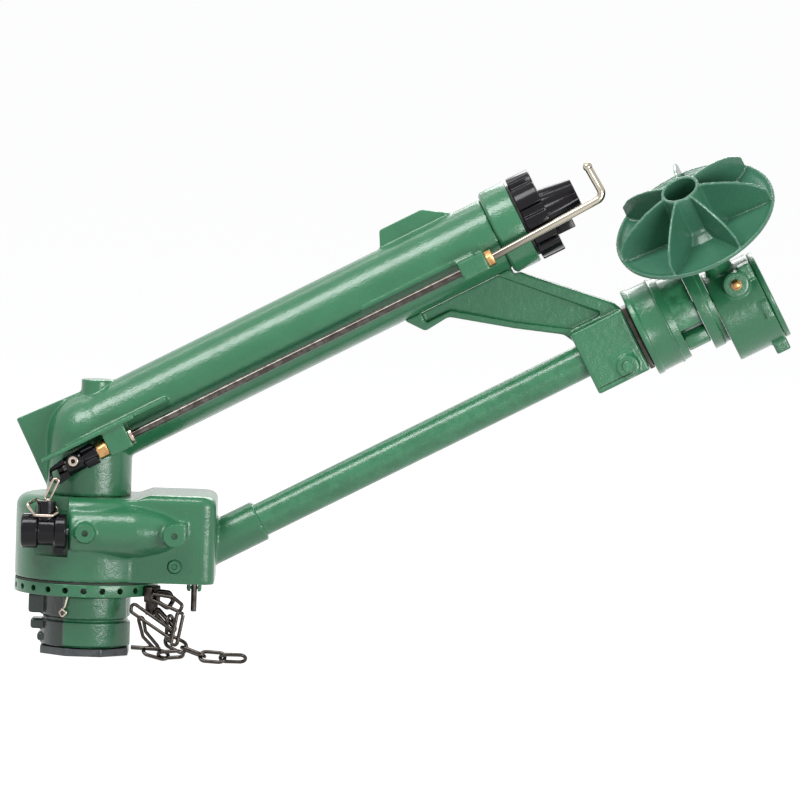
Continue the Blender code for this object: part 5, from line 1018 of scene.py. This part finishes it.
# Ribbed nozzle, each rib by angle and rise
NOZZLE_RIB = (
    (-0.30, -0.0004),
    (-0.15, 0.0004),
    (0, 0.0006),
    (0.15, 0.0004),
    (0.30, -0.0004),
    (0.39, -0.0012),
)
nozzle_outline = []
for n in range(NOZZLE_RIBS):
    middle = 2 * pi * n / NOZZLE_RIBS + NOZZLE_PHASE
    for offset, rise in NOZZLE_RIB:
        radius = NOZZLE_ROOT + rise
        nozzle_outline.append((radius * cos(middle + offset), radius * sin(middle + offset)))
tip = NOZZLE_START + NOZZLE_LENGTH
nozzle = plate(nozzle_outline, NOZZLE_START - 0.004, tip, BARREL_TURN, NOZZLE_TAPER)
ease(nozzle, 0.0007, 2, 35)
nozzle_root = rod(0.0257, NUT_START + FIT, NOZZLE_START - 0.003, BARREL_TURN)
lug_along = (NOZZLE_START, NOZZLE_START + 0.019)
nozzle_lug = block(lug_along, (-0.0282, -0.010), (-0.0105, 0.0105), BARREL_SIDE)
ease(nozzle_lug, 0.0009)
fuse(nozzle, nozzle_root, nozzle_lug)
bore_steps = [
    (NOZZLE_ROOT, 0.45),
    (NOZZLE_ROOT, NUT_START + 0.004),
    (NOZZLE_MOUTH, NOZZLE_START + 0.024),
    (NOZZLE_MOUTH, 0.6),
]
cut(nozzle, turned(bore_steps, BARREL_TURN))
dress(nozzle, "ribbed_nozzle", BLACK, "head", "nozzle")

# Arm with rims, webs and the clamp
arm_top = CLAMP_TOP - TUBE_DROP
arm_bottom = -CLAMP_BOTTOM - TUBE_DROP
arm_outline = [
    (0.327, -0.0311),
    (0.346, -0.0560),
    (0.373, -0.0535),
    (0.427, -0.0930),
    (0.4685, -0.1205),
    (CLAMP_START, -0.1316),
    (CLAMP_START, arm_bottom),
    (CLAMP_END, arm_bottom),
    (CLAMP_END, arm_top),
    (CLAMP_END - 0.004, arm_top + 0.0085),
    (0.439, -0.0269),
]
arm = plate(arm_outline, -ARM_HALF, ARM_HALF, BARREL_SIDE)
ease(arm, 0.003, 4)
clamp_width = (-CLAMP_HALF, CLAMP_HALF)
clamp = block((CLAMP_START, CLAMP_END), (arm_bottom, arm_top), clamp_width, BARREL_SIDE)
ease(clamp, 0.002)
bolt_centre = BARREL_SIDE @ Vector((CLAMP_BOLT_AT, -CLAMP_BOLT_DROP - TUBE_DROP, 0))
bolt_place = axes(bolt_centre, ALONG, FRONT)
bolt_boss = rod(BOLT_BOSS_RADIUS, -BOLT_BOSS_REACH, BOLT_BOSS_REACH, bolt_place)
ease(bolt_boss, 0.0012)
bolt_pad_outline = [(-0.013, -0.006), (0.010, -0.006), (0.010, 0.0145), (-0.013, 0.0145)]
bolt_pad = plate(soft_outline(bolt_pad_outline, 0.002), -0.0262, 0.0262, bolt_place)
fuse(arm, clamp, bolt_pad, bolt_boss)
web_outline = [
    (0.350, -0.0356),
    (0.433, -0.0356),
    (0.512, -0.1165),
    (0.508, -0.1190),
    (0.478, -0.1190),
    (0.430, -0.0875),
    (0.378, -0.0486),
    (0.350, -0.0486),
]
web_outline = soft_outline(web_outline, WEB_CORNER)
for near, far in ((WEB_HALF, 0.02), (-0.02, -WEB_HALF)):
    cut(arm, plate(web_outline, near, far, BARREL_SIDE))
cut(arm, rod(BARREL_RADIUS + FIT, 0.2, 0.6, BARREL_TURN, 96))
cut(arm, rod(END_RING_RADIUS + 0.001, BARREL_LENGTH - 0.001, NUT_START, BARREL_TURN, 96))
room = (HIGH_BLOCK[0] - 0.001, HIGH_BLOCK[1] + 0.001)
cut(arm, block(room, (-ROD_DROP - 0.0103, 0), (0.030, 0.07), BARREL_SIDE))
split_across = (-TUBE_DROP - 0.0305, -TUBE_DROP - 0.0293)
split = block((CLAMP_START - 0.002, CLAMP_BOLT_AT), split_across, (0.0235, 0.03), BARREL_SIDE)
cast(arm, 0.0012, 3)
cut(arm, rod(TUBE_RADIUS + FIT, 0.4, 0.6, TUBE_TURN))
cut(arm, rod(BOLT_BORE, -0.06, 0.06, bolt_place), split)
dress(arm, "cast_arm", GREEN, "head", "bracket_arm")

# Clamp bolt
bolt_seat = BOLT_BOSS_REACH + FIT
bolt_steps = [
    (0.007, -0.0343),
    (0.007, -bolt_seat),
    (0.004, -bolt_seat),
    (0.004, bolt_seat),
    (0.0055, bolt_seat),
    (0.0055, 0.0322),
    (0.0048, 0.0328),
]
bolt = turned(bolt_steps, bolt_place, 32)
dress(bolt, "clamp_screw", GREEN, "head", "clamp_bolt", slot="grey_steel")

# Drive tube
tube = ring(TUBE_RADIUS, TUBE_BORE, TUBE_START, TUBE_END, TUBE_TURN, 64)
dress(tube, "long_tube", TUBE_GREEN, "head", "drive_tube")

# Spacer, flange and neck of the gear head
spacer_along = (CLAMP_END + FIT, CLAMP_END + FIT + SPACER_LENGTH)
spacer = block(spacer_along, (-CLAMP_BOTTOM, CLAMP_TOP), (-SPACER_HALF, SPACER_HALF), TUBE_SIDE)
ease(spacer, 0.0008)
cut(spacer, rod(TUBE_RADIUS + FIT, 0.5, 0.6, TUBE_TURN))
dress(spacer, "dark_spacer", CHAIN, "head", "spacer_plate")

neck_end = CASE_PLATE_START - FIT
bolt_at = (NECK_RADIUS + 0.011 + FIT) * sin(pi / 4)
HOOD_BOTTOM = 0.0125 - bolt_at
flange_steps = [
    (TUBE_RADIUS + FIT, FLANGE_START),
    (FLANGE_RADIUS - 0.001, FLANGE_START),
    (FLANGE_RADIUS, FLANGE_START + 0.001),
    (FLANGE_RADIUS, FLANGE_START + 0.006),
    (FLANGE_RADIUS - 0.0012, FLANGE_START + 0.0070),
    (FLANGE_RADIUS - 0.0014, FLANGE_START + 0.0266),
    (FLANGE_RADIUS - 0.0003, FLANGE_START + 0.0275),
    (FLANGE_RADIUS - 0.0003, FLANGE_START + 0.0290),
    (FLANGE_RADIUS - 0.0017, FLANGE_START + 0.0298),
    (FLANGE_RADIUS - 0.0022, NECK_START),
    (NECK_RADIUS, NECK_START),
    (0.0228, NECK_START + 0.0030),
    (0.0204, NECK_START + 0.0065),
    (NECK_END_RADIUS, NECK_START + 0.0105),
    (NECK_END_RADIUS, neck_end),
    (0.013, neck_end),
    (0.013, NECK_START - 0.005),
    (TUBE_RADIUS + FIT, NECK_START - 0.005),
]
flange = turned(flange_steps, TUBE_TURN, 96, True)
ease(flange, 0.0007, 2)
hood = rod(FLANGE_RADIUS - 0.006, NECK_START - 0.001, neck_end, TUBE_TURN, 96)
cut(hood, block((-0.1, HOOD_BOTTOM), (-0.1, 0.1), (NECK_START - 0.01, neck_end + 0.01), TUBE_TURN))
cut(hood, rod(NECK_END_RADIUS - 0.001, NECK_START - 0.01, neck_end + 0.01, TUBE_TURN))
ease(hood, 0.0015)
fuse(flange, hood)
dress(flange, "head_collar", GREEN, "head", "head_flange")

# Hexagon bolts between flange and plate
bolt_outline = regular(6, HEAD_BOLT_RADIUS, 0.1)
for label, side in (("front", 1), ("rear", -1)):
    place = TUBE_TURN @ Matrix.Translation((-bolt_at, side * bolt_at, 0))
    head_bolt = plate(bolt_outline, NECK_START + FIT, neck_end, place)
    ease(head_bolt, 0.0022, 4, 20)
    dress(head_bolt, f"flange_bolt_{label}", GREEN, "head", f"head_bolt_{label}")

# Plate, gear case, cap and grease screw
plate_steps = [
    (SHAFT_HOLE, CASE_PLATE_START),
    (PLATE_RADIUS, CASE_PLATE_START),
    (PLATE_RADIUS, CASE_START - 0.0065),
    (PLATE_RADIUS - 0.0012, CASE_START - 0.0055),
    (PLATE_RADIUS - 0.0012, CASE_START - FIT),
    (SHAFT_HOLE, CASE_START - FIT),
]
case_plate = turned(plate_steps, TUBE_TURN, 80, True)
ease(case_plate, 0.0014)
dress(case_plate, "end_plate", GREEN, "head", "case_plate")

case = rod(CASE_RADIUS, CASE_START, CASE_END, CASE_TURN, 96)
ease(case, 0.0012)
turbine_neck = rod(TURBINE_NECK, 0.018, 0.073, WHEEL_TURN)
screw_place = axes(TUBE_SIDE @ Vector((TURBINE_AT + 0.0085, 0.004, 0)), ALONG, FRONT)
screw_boss = rod(0.0128, 0.020, SCREW_REACH, screw_place)
ear = block((CASE_END - 0.0135, CASE_END - 0.001), (0.0025, 0.019), (0.024, 0.046), TUBE_SIDE)
ease(ear, 0.001)
pad_along = (CASE_END - 0.0095, CASE_END - 0.0005)
side_pad = block(pad_along, (-0.041, -0.022), (0.023, 0.0482), TUBE_SIDE)
ease(side_pad, 0.0008)
case_foot = -CASE_DROP - CASE_RADIUS
tab_across = (case_foot - 0.0105, case_foot + 0.003)
tab = block((CASE_END - 0.015, CASE_END), tab_across, (-0.012, 0.012), TUBE_SIDE)
ease(tab, 0.001)
fuse(case, turbine_neck, screw_boss, ear, side_pad, tab)
cast(case, 0.0012, 3)
case_room = rod(CASE_RADIUS - CASE_WALL, CASE_START + 0.004, 0.8, CASE_TURN, 80)
case_mouth = rod(0.0172, 0.5, CASE_START + 0.01, TUBE_TURN)
neck_bore = rod(TURBINE_NECK_BORE, 0.012, 0.2, WHEEL_TURN)
screw_hole = rod(GREASE_BORE, SCREW_REACH - 0.0045, 0.08, screw_place, 24)
cut(case, case_room, case_mouth, neck_bore, screw_hole)
dress(case, "bevel_case", GREEN, "head", "gear_case")

cap = rod(CASE_RADIUS - 0.001, CASE_END + FIT, CASE_END + CAP_LENGTH, CASE_TURN, 80)
ease(cap, 0.0014)
dress(cap, "end_cap", GREEN, "head", "case_cap")

screw_steps = [
    (0.0030, SCREW_REACH - 0.0035),
    (0.0030, SCREW_REACH + FIT),
    (0.0052, SCREW_REACH + FIT),
    (0.0055, SCREW_REACH + 0.0010),
    (0.0052, SCREW_REACH + 0.0030),
    (0.0036, SCREW_REACH + 0.0038),
    (0.0030, SCREW_REACH + 0.0056),
    (0.0020, SCREW_REACH + 0.0060),
]
screw = turned(screw_steps, screw_place, 32)
dress(screw, "grease_nipple", BRASS, "head", "grease_screw")

# Turbine wheel: dished disc, hub and vanes
disc_foot = 0.0738
disc_low = RIM_HEIGHT - 0.010
wheel_steps = [
    (SHAFT_HOLE, disc_foot),
    (HUB_RADIUS - 0.004, disc_foot),
    (HUB_RADIUS + 0.004, disc_low - 0.003),
    (WHEEL_RADIUS - 0.004, RIM_HEIGHT - 0.006),
    (WHEEL_RADIUS, RIM_HEIGHT - 0.004),
    (WHEEL_RADIUS, RIM_HEIGHT),
    (WHEEL_RADIUS - 0.002, RIM_HEIGHT),
    (WHEEL_RADIUS - 0.006, RIM_HEIGHT - 0.0025),
    (HUB_RADIUS + 0.012, disc_low + 0.001),
    (HUB_RADIUS + 0.002, disc_low + 0.006),
    (HUB_RADIUS, disc_low + 0.010),
    (HUB_RADIUS, HUB_TOP),
    (HUB_BORE, HUB_TOP),
    (HUB_BORE, disc_low + 0.004),
    (SHAFT_HOLE, disc_low + 0.004),
]
wheel = turned(wheel_steps, WHEEL_TURN, 96, True)
vane_outline = [
    (HUB_BORE + 0.001, disc_low - 0.0005),
    (WHEEL_RADIUS - 0.007, RIM_HEIGHT - 0.0045),
    (WHEEL_RADIUS - 0.002, RIM_HEIGHT - 0.001),
]
vane_outline += [(radius, RIM_HEIGHT + height) for radius, height in VANE_EDGE]
vane_outline.append((HUB_BORE + 0.001, HUB_TOP - 0.0005))
for n in range(VANES):
    turn = WHEEL_TURN @ Matrix.Rotation(2 * pi * n / VANES + VANE_PHASE, 4, "Z")
    fuse(wheel, plate(vane_outline, -VANE_HALF, VANE_HALF, turn @ FACING))
cast(wheel, 0.0011, 2)
dress(wheel, "vaned_wheel", WHEEL_GREEN, "turbine", "turbine_wheel")

# Jet-breaker rod with its ball
rise = (ROD_BEND - ROD_KINK) * tan(ROD_KINK_ANGLE)
rod_path = [
    (0, 0, ROD_START),
    (0, 0, ROD_KINK),
    (rise, 0, ROD_BEND),
    (rise + ROD_TIP_HEIGHT, 0, ROD_BEND - 0.002),
]
breaker = wire(corners(rod_path, 0.008, 8), ROD_RADIUS, ROD_TURN, smooth=8)
let_go()
bpy.ops.mesh.primitive_uv_sphere_add(
    segments=32, ring_count=20, radius=ROD_BALL, location=rod_path[-1]
)
ball = settle(bpy.context.object, ROD_TURN)
fuse(breaker, ball)
# The rod's dark colour is painted shade, with painted light at its right end
dress(breaker, "bent_rod", DARK_NICKEL, "rod", "breaker_rod")


# Nuts and collar on the rod
def hex_nut(radius, low, high, phase=0.25):
    item = plate(regular(6, radius, phase), low, high, ROD_TURN)
    ease(item, 0.0006, 2)
    return cut(item, rod(ROD_RADIUS + 0.0004, -0.1, ROD_KINK, ROD_TURN))


nut_radius = ROD_NUT_WIDTH / 2 / cos(pi / 6)
nut_high = LOW_BLOCK[0] - FIT
lower_nut = hex_nut(nut_radius, nut_high - ROD_NUT_LENGTH, nut_high)
dress(lower_nut, "brass_nut_lower", BRASS, "head", "rod_nut_lower")
upper_nut = hex_nut(UPPER_NUT_RADIUS, HIGH_BLOCK[1] + FIT, HIGH_BLOCK[1] + 0.0075)
dress(upper_nut, "brass_nut_upper", BRASS, "head", "rod_nut_upper")
collar = ring(COLLAR_RADIUS, KNOB_BORE, LOW_BLOCK[1] + FIT, LOW_BLOCK[1] + 0.004, ROD_TURN)
ease(collar, 0.0007, 2)
dress(collar, "thrust_collar", NICKEL, "head", "rod_collar")

# Winged knob and slotted lever on the rod's lower end
wing_end = LOW_BLOCK[0] - ROD_NUT_LENGTH - 0.0012
knob_steps = [
    (KNOB_BORE, wing_end - 0.015),
    (0.006, wing_end - 0.015),
    (0.0075, wing_end),
    (KNOB_BORE, wing_end),
]
knob = turned(knob_steps, ROD_TURN, 48, True)
wing_outline = [(0.005, -0.0024), (0.0118, -0.0034), (0.0118, 0.0034), (0.005, 0.0024)]
for n in range(WINGS):
    angle = n * 2 * pi / WINGS + 0.6
    wing_turn = ROD_TURN @ Matrix.Rotation(angle, 4, "Z")
    wing = plate(wing_outline, wing_end - 0.0148, wing_end - 0.001, wing_turn)
    ease(wing, 0.0008)
    fuse(knob, wing)
cast(knob, 0.0004, 3)
dress(knob, "wing_nut", BLACK, "rod", "wing_knob")

lever_end = wing_end - 0.0155
lever_outline = [
    (lever_end - 0.020, 0.009),
    (lever_end, 0.0105),
    (lever_end, -0.0090),
    (lever_end - 0.018, -0.0105),
    (lever_end - 0.031, -0.0125),
    (lever_end - 0.040, -0.005),
    (lever_end - 0.034, 0.0060),
]
lever = plate(lever_outline, -0.0065, 0.0015, ROD_SIDE_ON)
lever_hub = rod(0.0098, lever_end - 0.018, lever_end, ROD_TURN)
pin_place = axes(ROD_SIDE_ON @ Vector((lever_end - 0.009, 0.003, 0)), ALONG, FRONT)
lever_boss = rod(0.0066, -0.002, 0.0105, pin_place)
fuse(lever, lever_hub, lever_boss)
cast(lever, 0.0005, 3)
slot_outline = [
    (lever_end - 0.0280, 0.0020),
    (lever_end - 0.0335, 0.0020),
    (lever_end - 0.0355, -0.0060),
    (lever_end - 0.0335, -0.0095),
    (lever_end - 0.0300, -0.0095),
    (lever_end - 0.0280, -0.0060),
]
cut(lever, plate(slot_outline, -0.02, 0.02, ROD_SIDE_ON), rod(0.0043, -0.1, 0.1, ROD_TURN))
cut(lever, rod(0.0053, 0.0065, 0.03, pin_place))
dress(lever, "slotted_lever", BLACK, "rod", "rod_lever")
eyelet = ring(0.0050, 0.0022, 0.0068, 0.0115, pin_place)
ease(eyelet, 0.0005, 2)
dress(eyelet, "pale_eyelet", NICKEL, "rod", "lever_eyelet")

# Rocker drum with its neck, pin, bail and wire link
drum_steps = [
    (0.0160, -0.0242),
    (ROCKER_RADIUS, -0.0228),
    (ROCKER_RADIUS, -0.0085),
    (ROCKER_RADIUS - 0.0030, -0.0070),
    (ROCKER_RADIUS - 0.0030, 0.0085),
    (ROCKER_RADIUS, 0.0100),
    (ROCKER_RADIUS, 0.0198),
    (ROCKER_RADIUS - 0.0012, 0.0208),
]
rocker = turned(drum_steps, ROCKER_TURN, 72)
rocker_neck = rod(0.0095, 0.008, 0.030, ROCKER)
nub = block((0.0078, 0.0178), (-0.006, 0.006), (-ROCKER_RADIUS - 0.0045, -0.010), ROCKER)
fuse(rocker, rocker_neck, nub)
cast(rocker, 0.0006, 3)
cut(rocker, rod(0.0043, -0.06, 0.06, ROCKER_TURN))
dress(rocker, "black_drum", BLACK, "rocker", "rocker_drum")
bail_points = [
    (-0.0185, -0.0095, 0.0265),
    (-0.0105, -0.0117, 0.0160),
    (0.0065, -0.0117, 0.0160),
    (0.0117, -0.0060, 0.0190),
    (0.0117, 0.0105, 0.0215),
    (-0.0105, 0.0125, 0.0300),
]
bail = loop(bail_points, 0.0025, WIRE_RADIUS, ROCKER)
dress(bail, "drum_bail", NICKEL, "rocker", "rocker_bail")
link_rise = 0.1782 - LINK_PIVOT_Z
link_shift = 0.0090
link_half = 0.003
link_points = [
    (-link_half, 0, 0),
    (link_half, 0, 0),
    (link_shift + link_half, 0, link_rise),
    (link_shift - link_half, 0, link_rise),
]
wire_link = loop(link_points, 0.0018, WIRE_RADIUS * 0.8, LINK)
peg_place = axes(LINK @ Vector((link_shift, 0, link_rise)), RIGHT, FRONT)
fuse(wire_link, rod(0.0016, -0.008, 0, peg_place, 24))
dress(wire_link, "wire_link", NICKEL, "link", "rocker_link")

# Trip lever under the housing
trip_rod = turned([(0.0022, -0.024), (0.003, -0.0232), (0.003, 0.0032)], TRIP, 32)
fuse(trip_rod, rod(0.0015, -0.0075, 0.0075, TRIP_TURN, 24))
dress(trip_rod, "trip_finger", CHAIN, "trip", "trip_lever")

# Stop block and wire stops on the sector ring
stop_inner = SECTOR_RADIUS + 0.0005
stop_outer = stop_inner + STOP_DEPTH
stop_depth = (stop_inner, stop_outer)
stop_body = block(stop_depth, (-0.010, 0.010), (0.0565, SECTOR_TOP - 0.0015), STOP)
stop_foot = block(stop_depth, (-0.0065, 0.0055), (0.0435, 0.060), STOP)
ease(stop_foot, 0.0015)
ease(stop_body, 0.0015)
fuse(stop_body, stop_foot)
cast(stop_body, 0.0006, 3)
dress(stop_body, "stop_body", CHAIN, "base", "stop_block")
root = stop_outer + STOP_WIRE + FIT
upper_stop = [
    (root, -0.0015, 0.068),
    (root + 0.013, -0.0005, 0.0675),
    (root + 0.0175, 0.0000, 0.060),
    (root + 0.012, -0.0005, 0.0515),
    (root, -0.0015, 0.0575),
]
lower_stop = [
    (root, -0.0030, LOWER_STOP_TOP),
    (root + LOWER_STOP_RUN, -0.0060, LOWER_STOP_TOP - LOWER_STOP_DROP),
    (root + 0.0207, -0.0060, 0.0283),
    (root, -0.0030, 0.0448),
]
upper = loop(upper_stop, 0.003, STOP_WIRE, STOP)
dress(upper, "upper_loop", CHAIN, "base", "sector_stop_upper")
lower = loop(lower_stop, 0.002, STOP_WIRE, STOP)
dress(lower, "lower_loop", CHAIN, "base", "sector_stop_lower")

# Loose chain
LINK_BEND = 0.0058
LINK_STRAIGHT = 0.0135
LINK_HALF = LINK_STRAIGHT / 2 + LINK_BEND
LINK_WIRE = 0.0019
LINK_SLACK = 0.0007
link_outline = [
    (-LINK_HALF, -LINK_BEND, 0),
    (LINK_HALF, -LINK_BEND, 0),
    (LINK_HALF, LINK_BEND, 0),
    (-LINK_HALF, LINK_BEND, 0),
]


def chain_link(number, centre, direction, normal, name=None):
    """One link, its length along direction and its flat side facing normal."""
    direction = Vector(direction).normalized()
    normal = Vector(normal) - Vector(normal).dot(direction) * direction
    place = axes(centre, direction, normal)
    item = loop(link_outline, LINK_BEND * 0.98, LINK_WIRE, place, 8)
    stands_for = [f"chain_link_{number}"] if number else []
    dress(item, name or f"steel_link_{number}", CHAIN, "base", *stands_for)


radial = Vector((cos(STOP_ANGLE), sin(STOP_ANGLE), 0))
beside = Vector((-sin(STOP_ANGLE), cos(STOP_ANGLE), 0))
hang_at = 0.017
wire_slope = LOWER_STOP_DROP / LOWER_STOP_RUN
wire_gap = (STOP_WIRE + LINK_WIRE + LINK_SLACK) * (1 + wire_slope**2) ** 0.5
first_middle = (root + hang_at) * radial - 0.0049 * beside
first_middle.z = LOWER_STOP_TOP - wire_slope * hang_at + wire_gap - LINK_HALF
chain_link(1, first_middle, (0, 0, -1), radial)
link_step = LINK_HALF * 2 - 2 * LINK_WIRE - LINK_SLACK
overlap = link_step - LINK_HALF
end = first_middle - Vector((0, 0, LINK_HALF))
start_height = end.z
ground_height = LINK_BEND * sin(pi / 4) + LINK_WIRE + FIT
# Number, heading, share of the way to the ground, roll
LAY = (
    (2, radians(-28), 0.52, radians(90)),
    (3, radians(-19), 0.95, radians(20)),
    (4, radians(-9), 1.0, radians(-48)),
    (5, radians(1), 1.0, radians(42)),
)
for number, heading, share, roll in LAY:
    height = start_height + share * (ground_height - start_height)
    fall = asin((end.z - height) / link_step)
    level = Vector((cos(heading), sin(heading), 0))
    direction = cos(fall) * level - sin(fall) * UP
    side = Vector((-sin(heading), cos(heading), 0))
    normal = cos(roll) * direction.cross(side) + sin(roll) * side
    chain_link(number, end + overlap * direction, direction, normal)
    end = end + link_step * direction

# Wire loops beside the chain, by wire radius and corners
LOOPS = {
    "long_loop": (0.0018, [
        (0.0480, -0.0505, 0.0570),
        (0.0905, -0.0700, 0.0310),
        (0.0880, -0.0710, 0.0235),
        (0.0470, -0.0515, 0.0475),
    ]),
    "double_loop": (0.0019, [
        (0.0650, -0.0520, 0.0665),
        (0.0890, -0.0600, 0.0640),
        (0.0985, -0.0640, 0.0570),
        (0.0960, -0.0640, 0.0500),
        (0.0680, -0.0530, 0.0600),
    ]),
    "tall_loop": (0.0019, [
        (0.0985, -0.0690, 0.0545),
        (0.0995, -0.0700, 0.0470),
        (0.0945, -0.0730, 0.0200),
        (0.0900, -0.0740, 0.0130),
        (0.0885, -0.0740, 0.0200),
        (0.0935, -0.0705, 0.0480),
    ]),
    "low_loop": (0.0018, [
        (0.0590, -0.0560, 0.0440),
        (0.0625, -0.0600, 0.0290),
        (0.0760, -0.0660, 0.0145),
        (0.0735, -0.0670, 0.0110),
        (0.0600, -0.0620, 0.0240),
        (0.0545, -0.0560, 0.0420),
    ]),
}
for name, (thickness, points) in LOOPS.items():
    dress(loop(points, 0.0030, thickness), name, CHAIN, "base")
# Spare links beside the chain, by centre, direction and normal
SPARES = (
    ((0.0735, -0.0690, 0.0085), (0.85, -0.10, -0.20), (0.2, -0.6, 0.8)),
    ((0.0885, -0.0765, 0.0085), (0.90, -0.20, 0.10), (0.1, 0.6, 0.8)),
)
for number, (centre, direction, normal) in enumerate(SPARES, 1):
    chain_link(0, centre, direction, normal, f"spare_link_{number}")
# Short loose pin
loose_place = axes((0.0485, -0.0620, 0.0130), UP, (0.97, -0.2, -0.02))
pin = rod(0.0022, 0.0, 0.0300, loose_place, 24)
ease(pin, 0.0005, 2)
dress(pin, "short_pin", CHAIN, "base")

# Floor and camera
let_go()
bpy.ops.mesh.primitive_plane_add(size=60, location=(0, 0, 0))
floor = bpy.context.object
floor.name = "floor"
FLOOR_WHITE = 0.90
FLOOR_GREY = (0.35, 0.35, 0.35)


def seen_rays(tree):
    """1 for what the eye, a mirror or glass sees."""
    path = tree.nodes.new("ShaderNodeLightPath")
    seen = sums(tree, "ADD", path.outputs["Is Camera Ray"], path.outputs["Is Glossy Ray"])
    return sums(tree, "MINIMUM", sums(tree, "ADD", seen, path.outputs["Is Transmission Ray"]), 1.0)


def pale_floor(name):
    """White to the eye, with the shadow kept, and a matt grey floor to the light."""
    material, tree, shader = new_material(name)
    shader.inputs["Base Color"].default_value = (*FLOOR_GREY, 1)
    shader.inputs["Roughness"].default_value = 0.9
    shader.inputs["Specular IOR Level"].default_value = 0.0
    shader.inputs["Emission Color"].default_value = (1, 1, 1, 1)
    glow = times(tree, seen_rays(tree), FLOOR_WHITE)
    link(tree, glow, shader.inputs["Emission Strength"])
    return material


floor.data.materials.append(pale_floor("floor_white"))

DISTANCE = 9.0
LENS = 405
SENSOR_WIDTH = 36
CAMERA_TILT = radians(4.2)
CAMERA_ROLL = radians(1.8)
AIM = Vector((0.3083, 0, 0.2635))
forward = Vector((0, cos(CAMERA_TILT), -sin(CAMERA_TILT)))
level_up = Vector((0, sin(CAMERA_TILT), cos(CAMERA_TILT)))
across = cos(CAMERA_ROLL) * RIGHT + sin(CAMERA_ROLL) * level_up
camera_data = bpy.data.cameras.new("camera")
camera_data.lens = LENS
camera_data.sensor_width = SENSOR_WIDTH
camera = bpy.data.objects.new("camera", camera_data)
bpy.context.scene.collection.objects.link(camera)
camera.matrix_world = axes(AIM - DISTANCE * forward, across, -forward)
bpy.context.scene.camera = camera


# Soft boxes and a pale room
def lamp(name, place, target, size, power, long=RIGHT):
    data = bpy.data.lights.new(name, "AREA")
    data.shape = "RECTANGLE"
    data.size, data.size_y = size
    data.energy = power
    item = bpy.data.objects.new(name, data)
    bpy.context.scene.collection.objects.link(item)
    back = (Vector(place) - Vector(target)).normalized()
    item.matrix_world = axes(place, long - long.dot(back) * back, back)


MIDDLE = (0.33, 0, 0.37)
lamp("upper_left", (-0.634, -0.955, 2.10), MIDDLE, (1.7, 0.75), 43, ALONG)
lamp("low_right", (1.36, -1.52, 0.27), (0.08, 0, 0.15), (1.0, 0.5), 18)
lamp("rim", (-0.53, 0.95, 1.91), MIDDLE, (1.8, 0.16), 4, ALONG)
lamp("back", (0.54, 1.94, 1.70), (0.30, 0, 0.33), (1.6, 1.0), 26)

ROOM_LIGHT = 0.24
world = bpy.data.worlds.new("studio")
bpy.context.scene.world = world
world.use_nodes = True
tree = world.node_tree
shine = tree.nodes["Background"]
shine.inputs["Color"].default_value = (0.95, 0.97, 1.0, 1)
shine.inputs["Strength"].default_value = ROOM_LIGHT
seen = tree.nodes.new("ShaderNodeBackground")
seen.inputs["Color"].default_value = (1, 1, 1, 1)
choice = tree.nodes.new("ShaderNodeMixShader")
link(tree, seen_rays(tree), choice.inputs[0])
link(tree, shine.outputs[0], choice.inputs[1])
link(tree, seen.outputs[0], choice.inputs[2])
link(tree, choice.outputs[0], tree.nodes["World Output"].inputs["Surface"])

view = bpy.context.scene.view_settings
view.view_transform = "Standard"
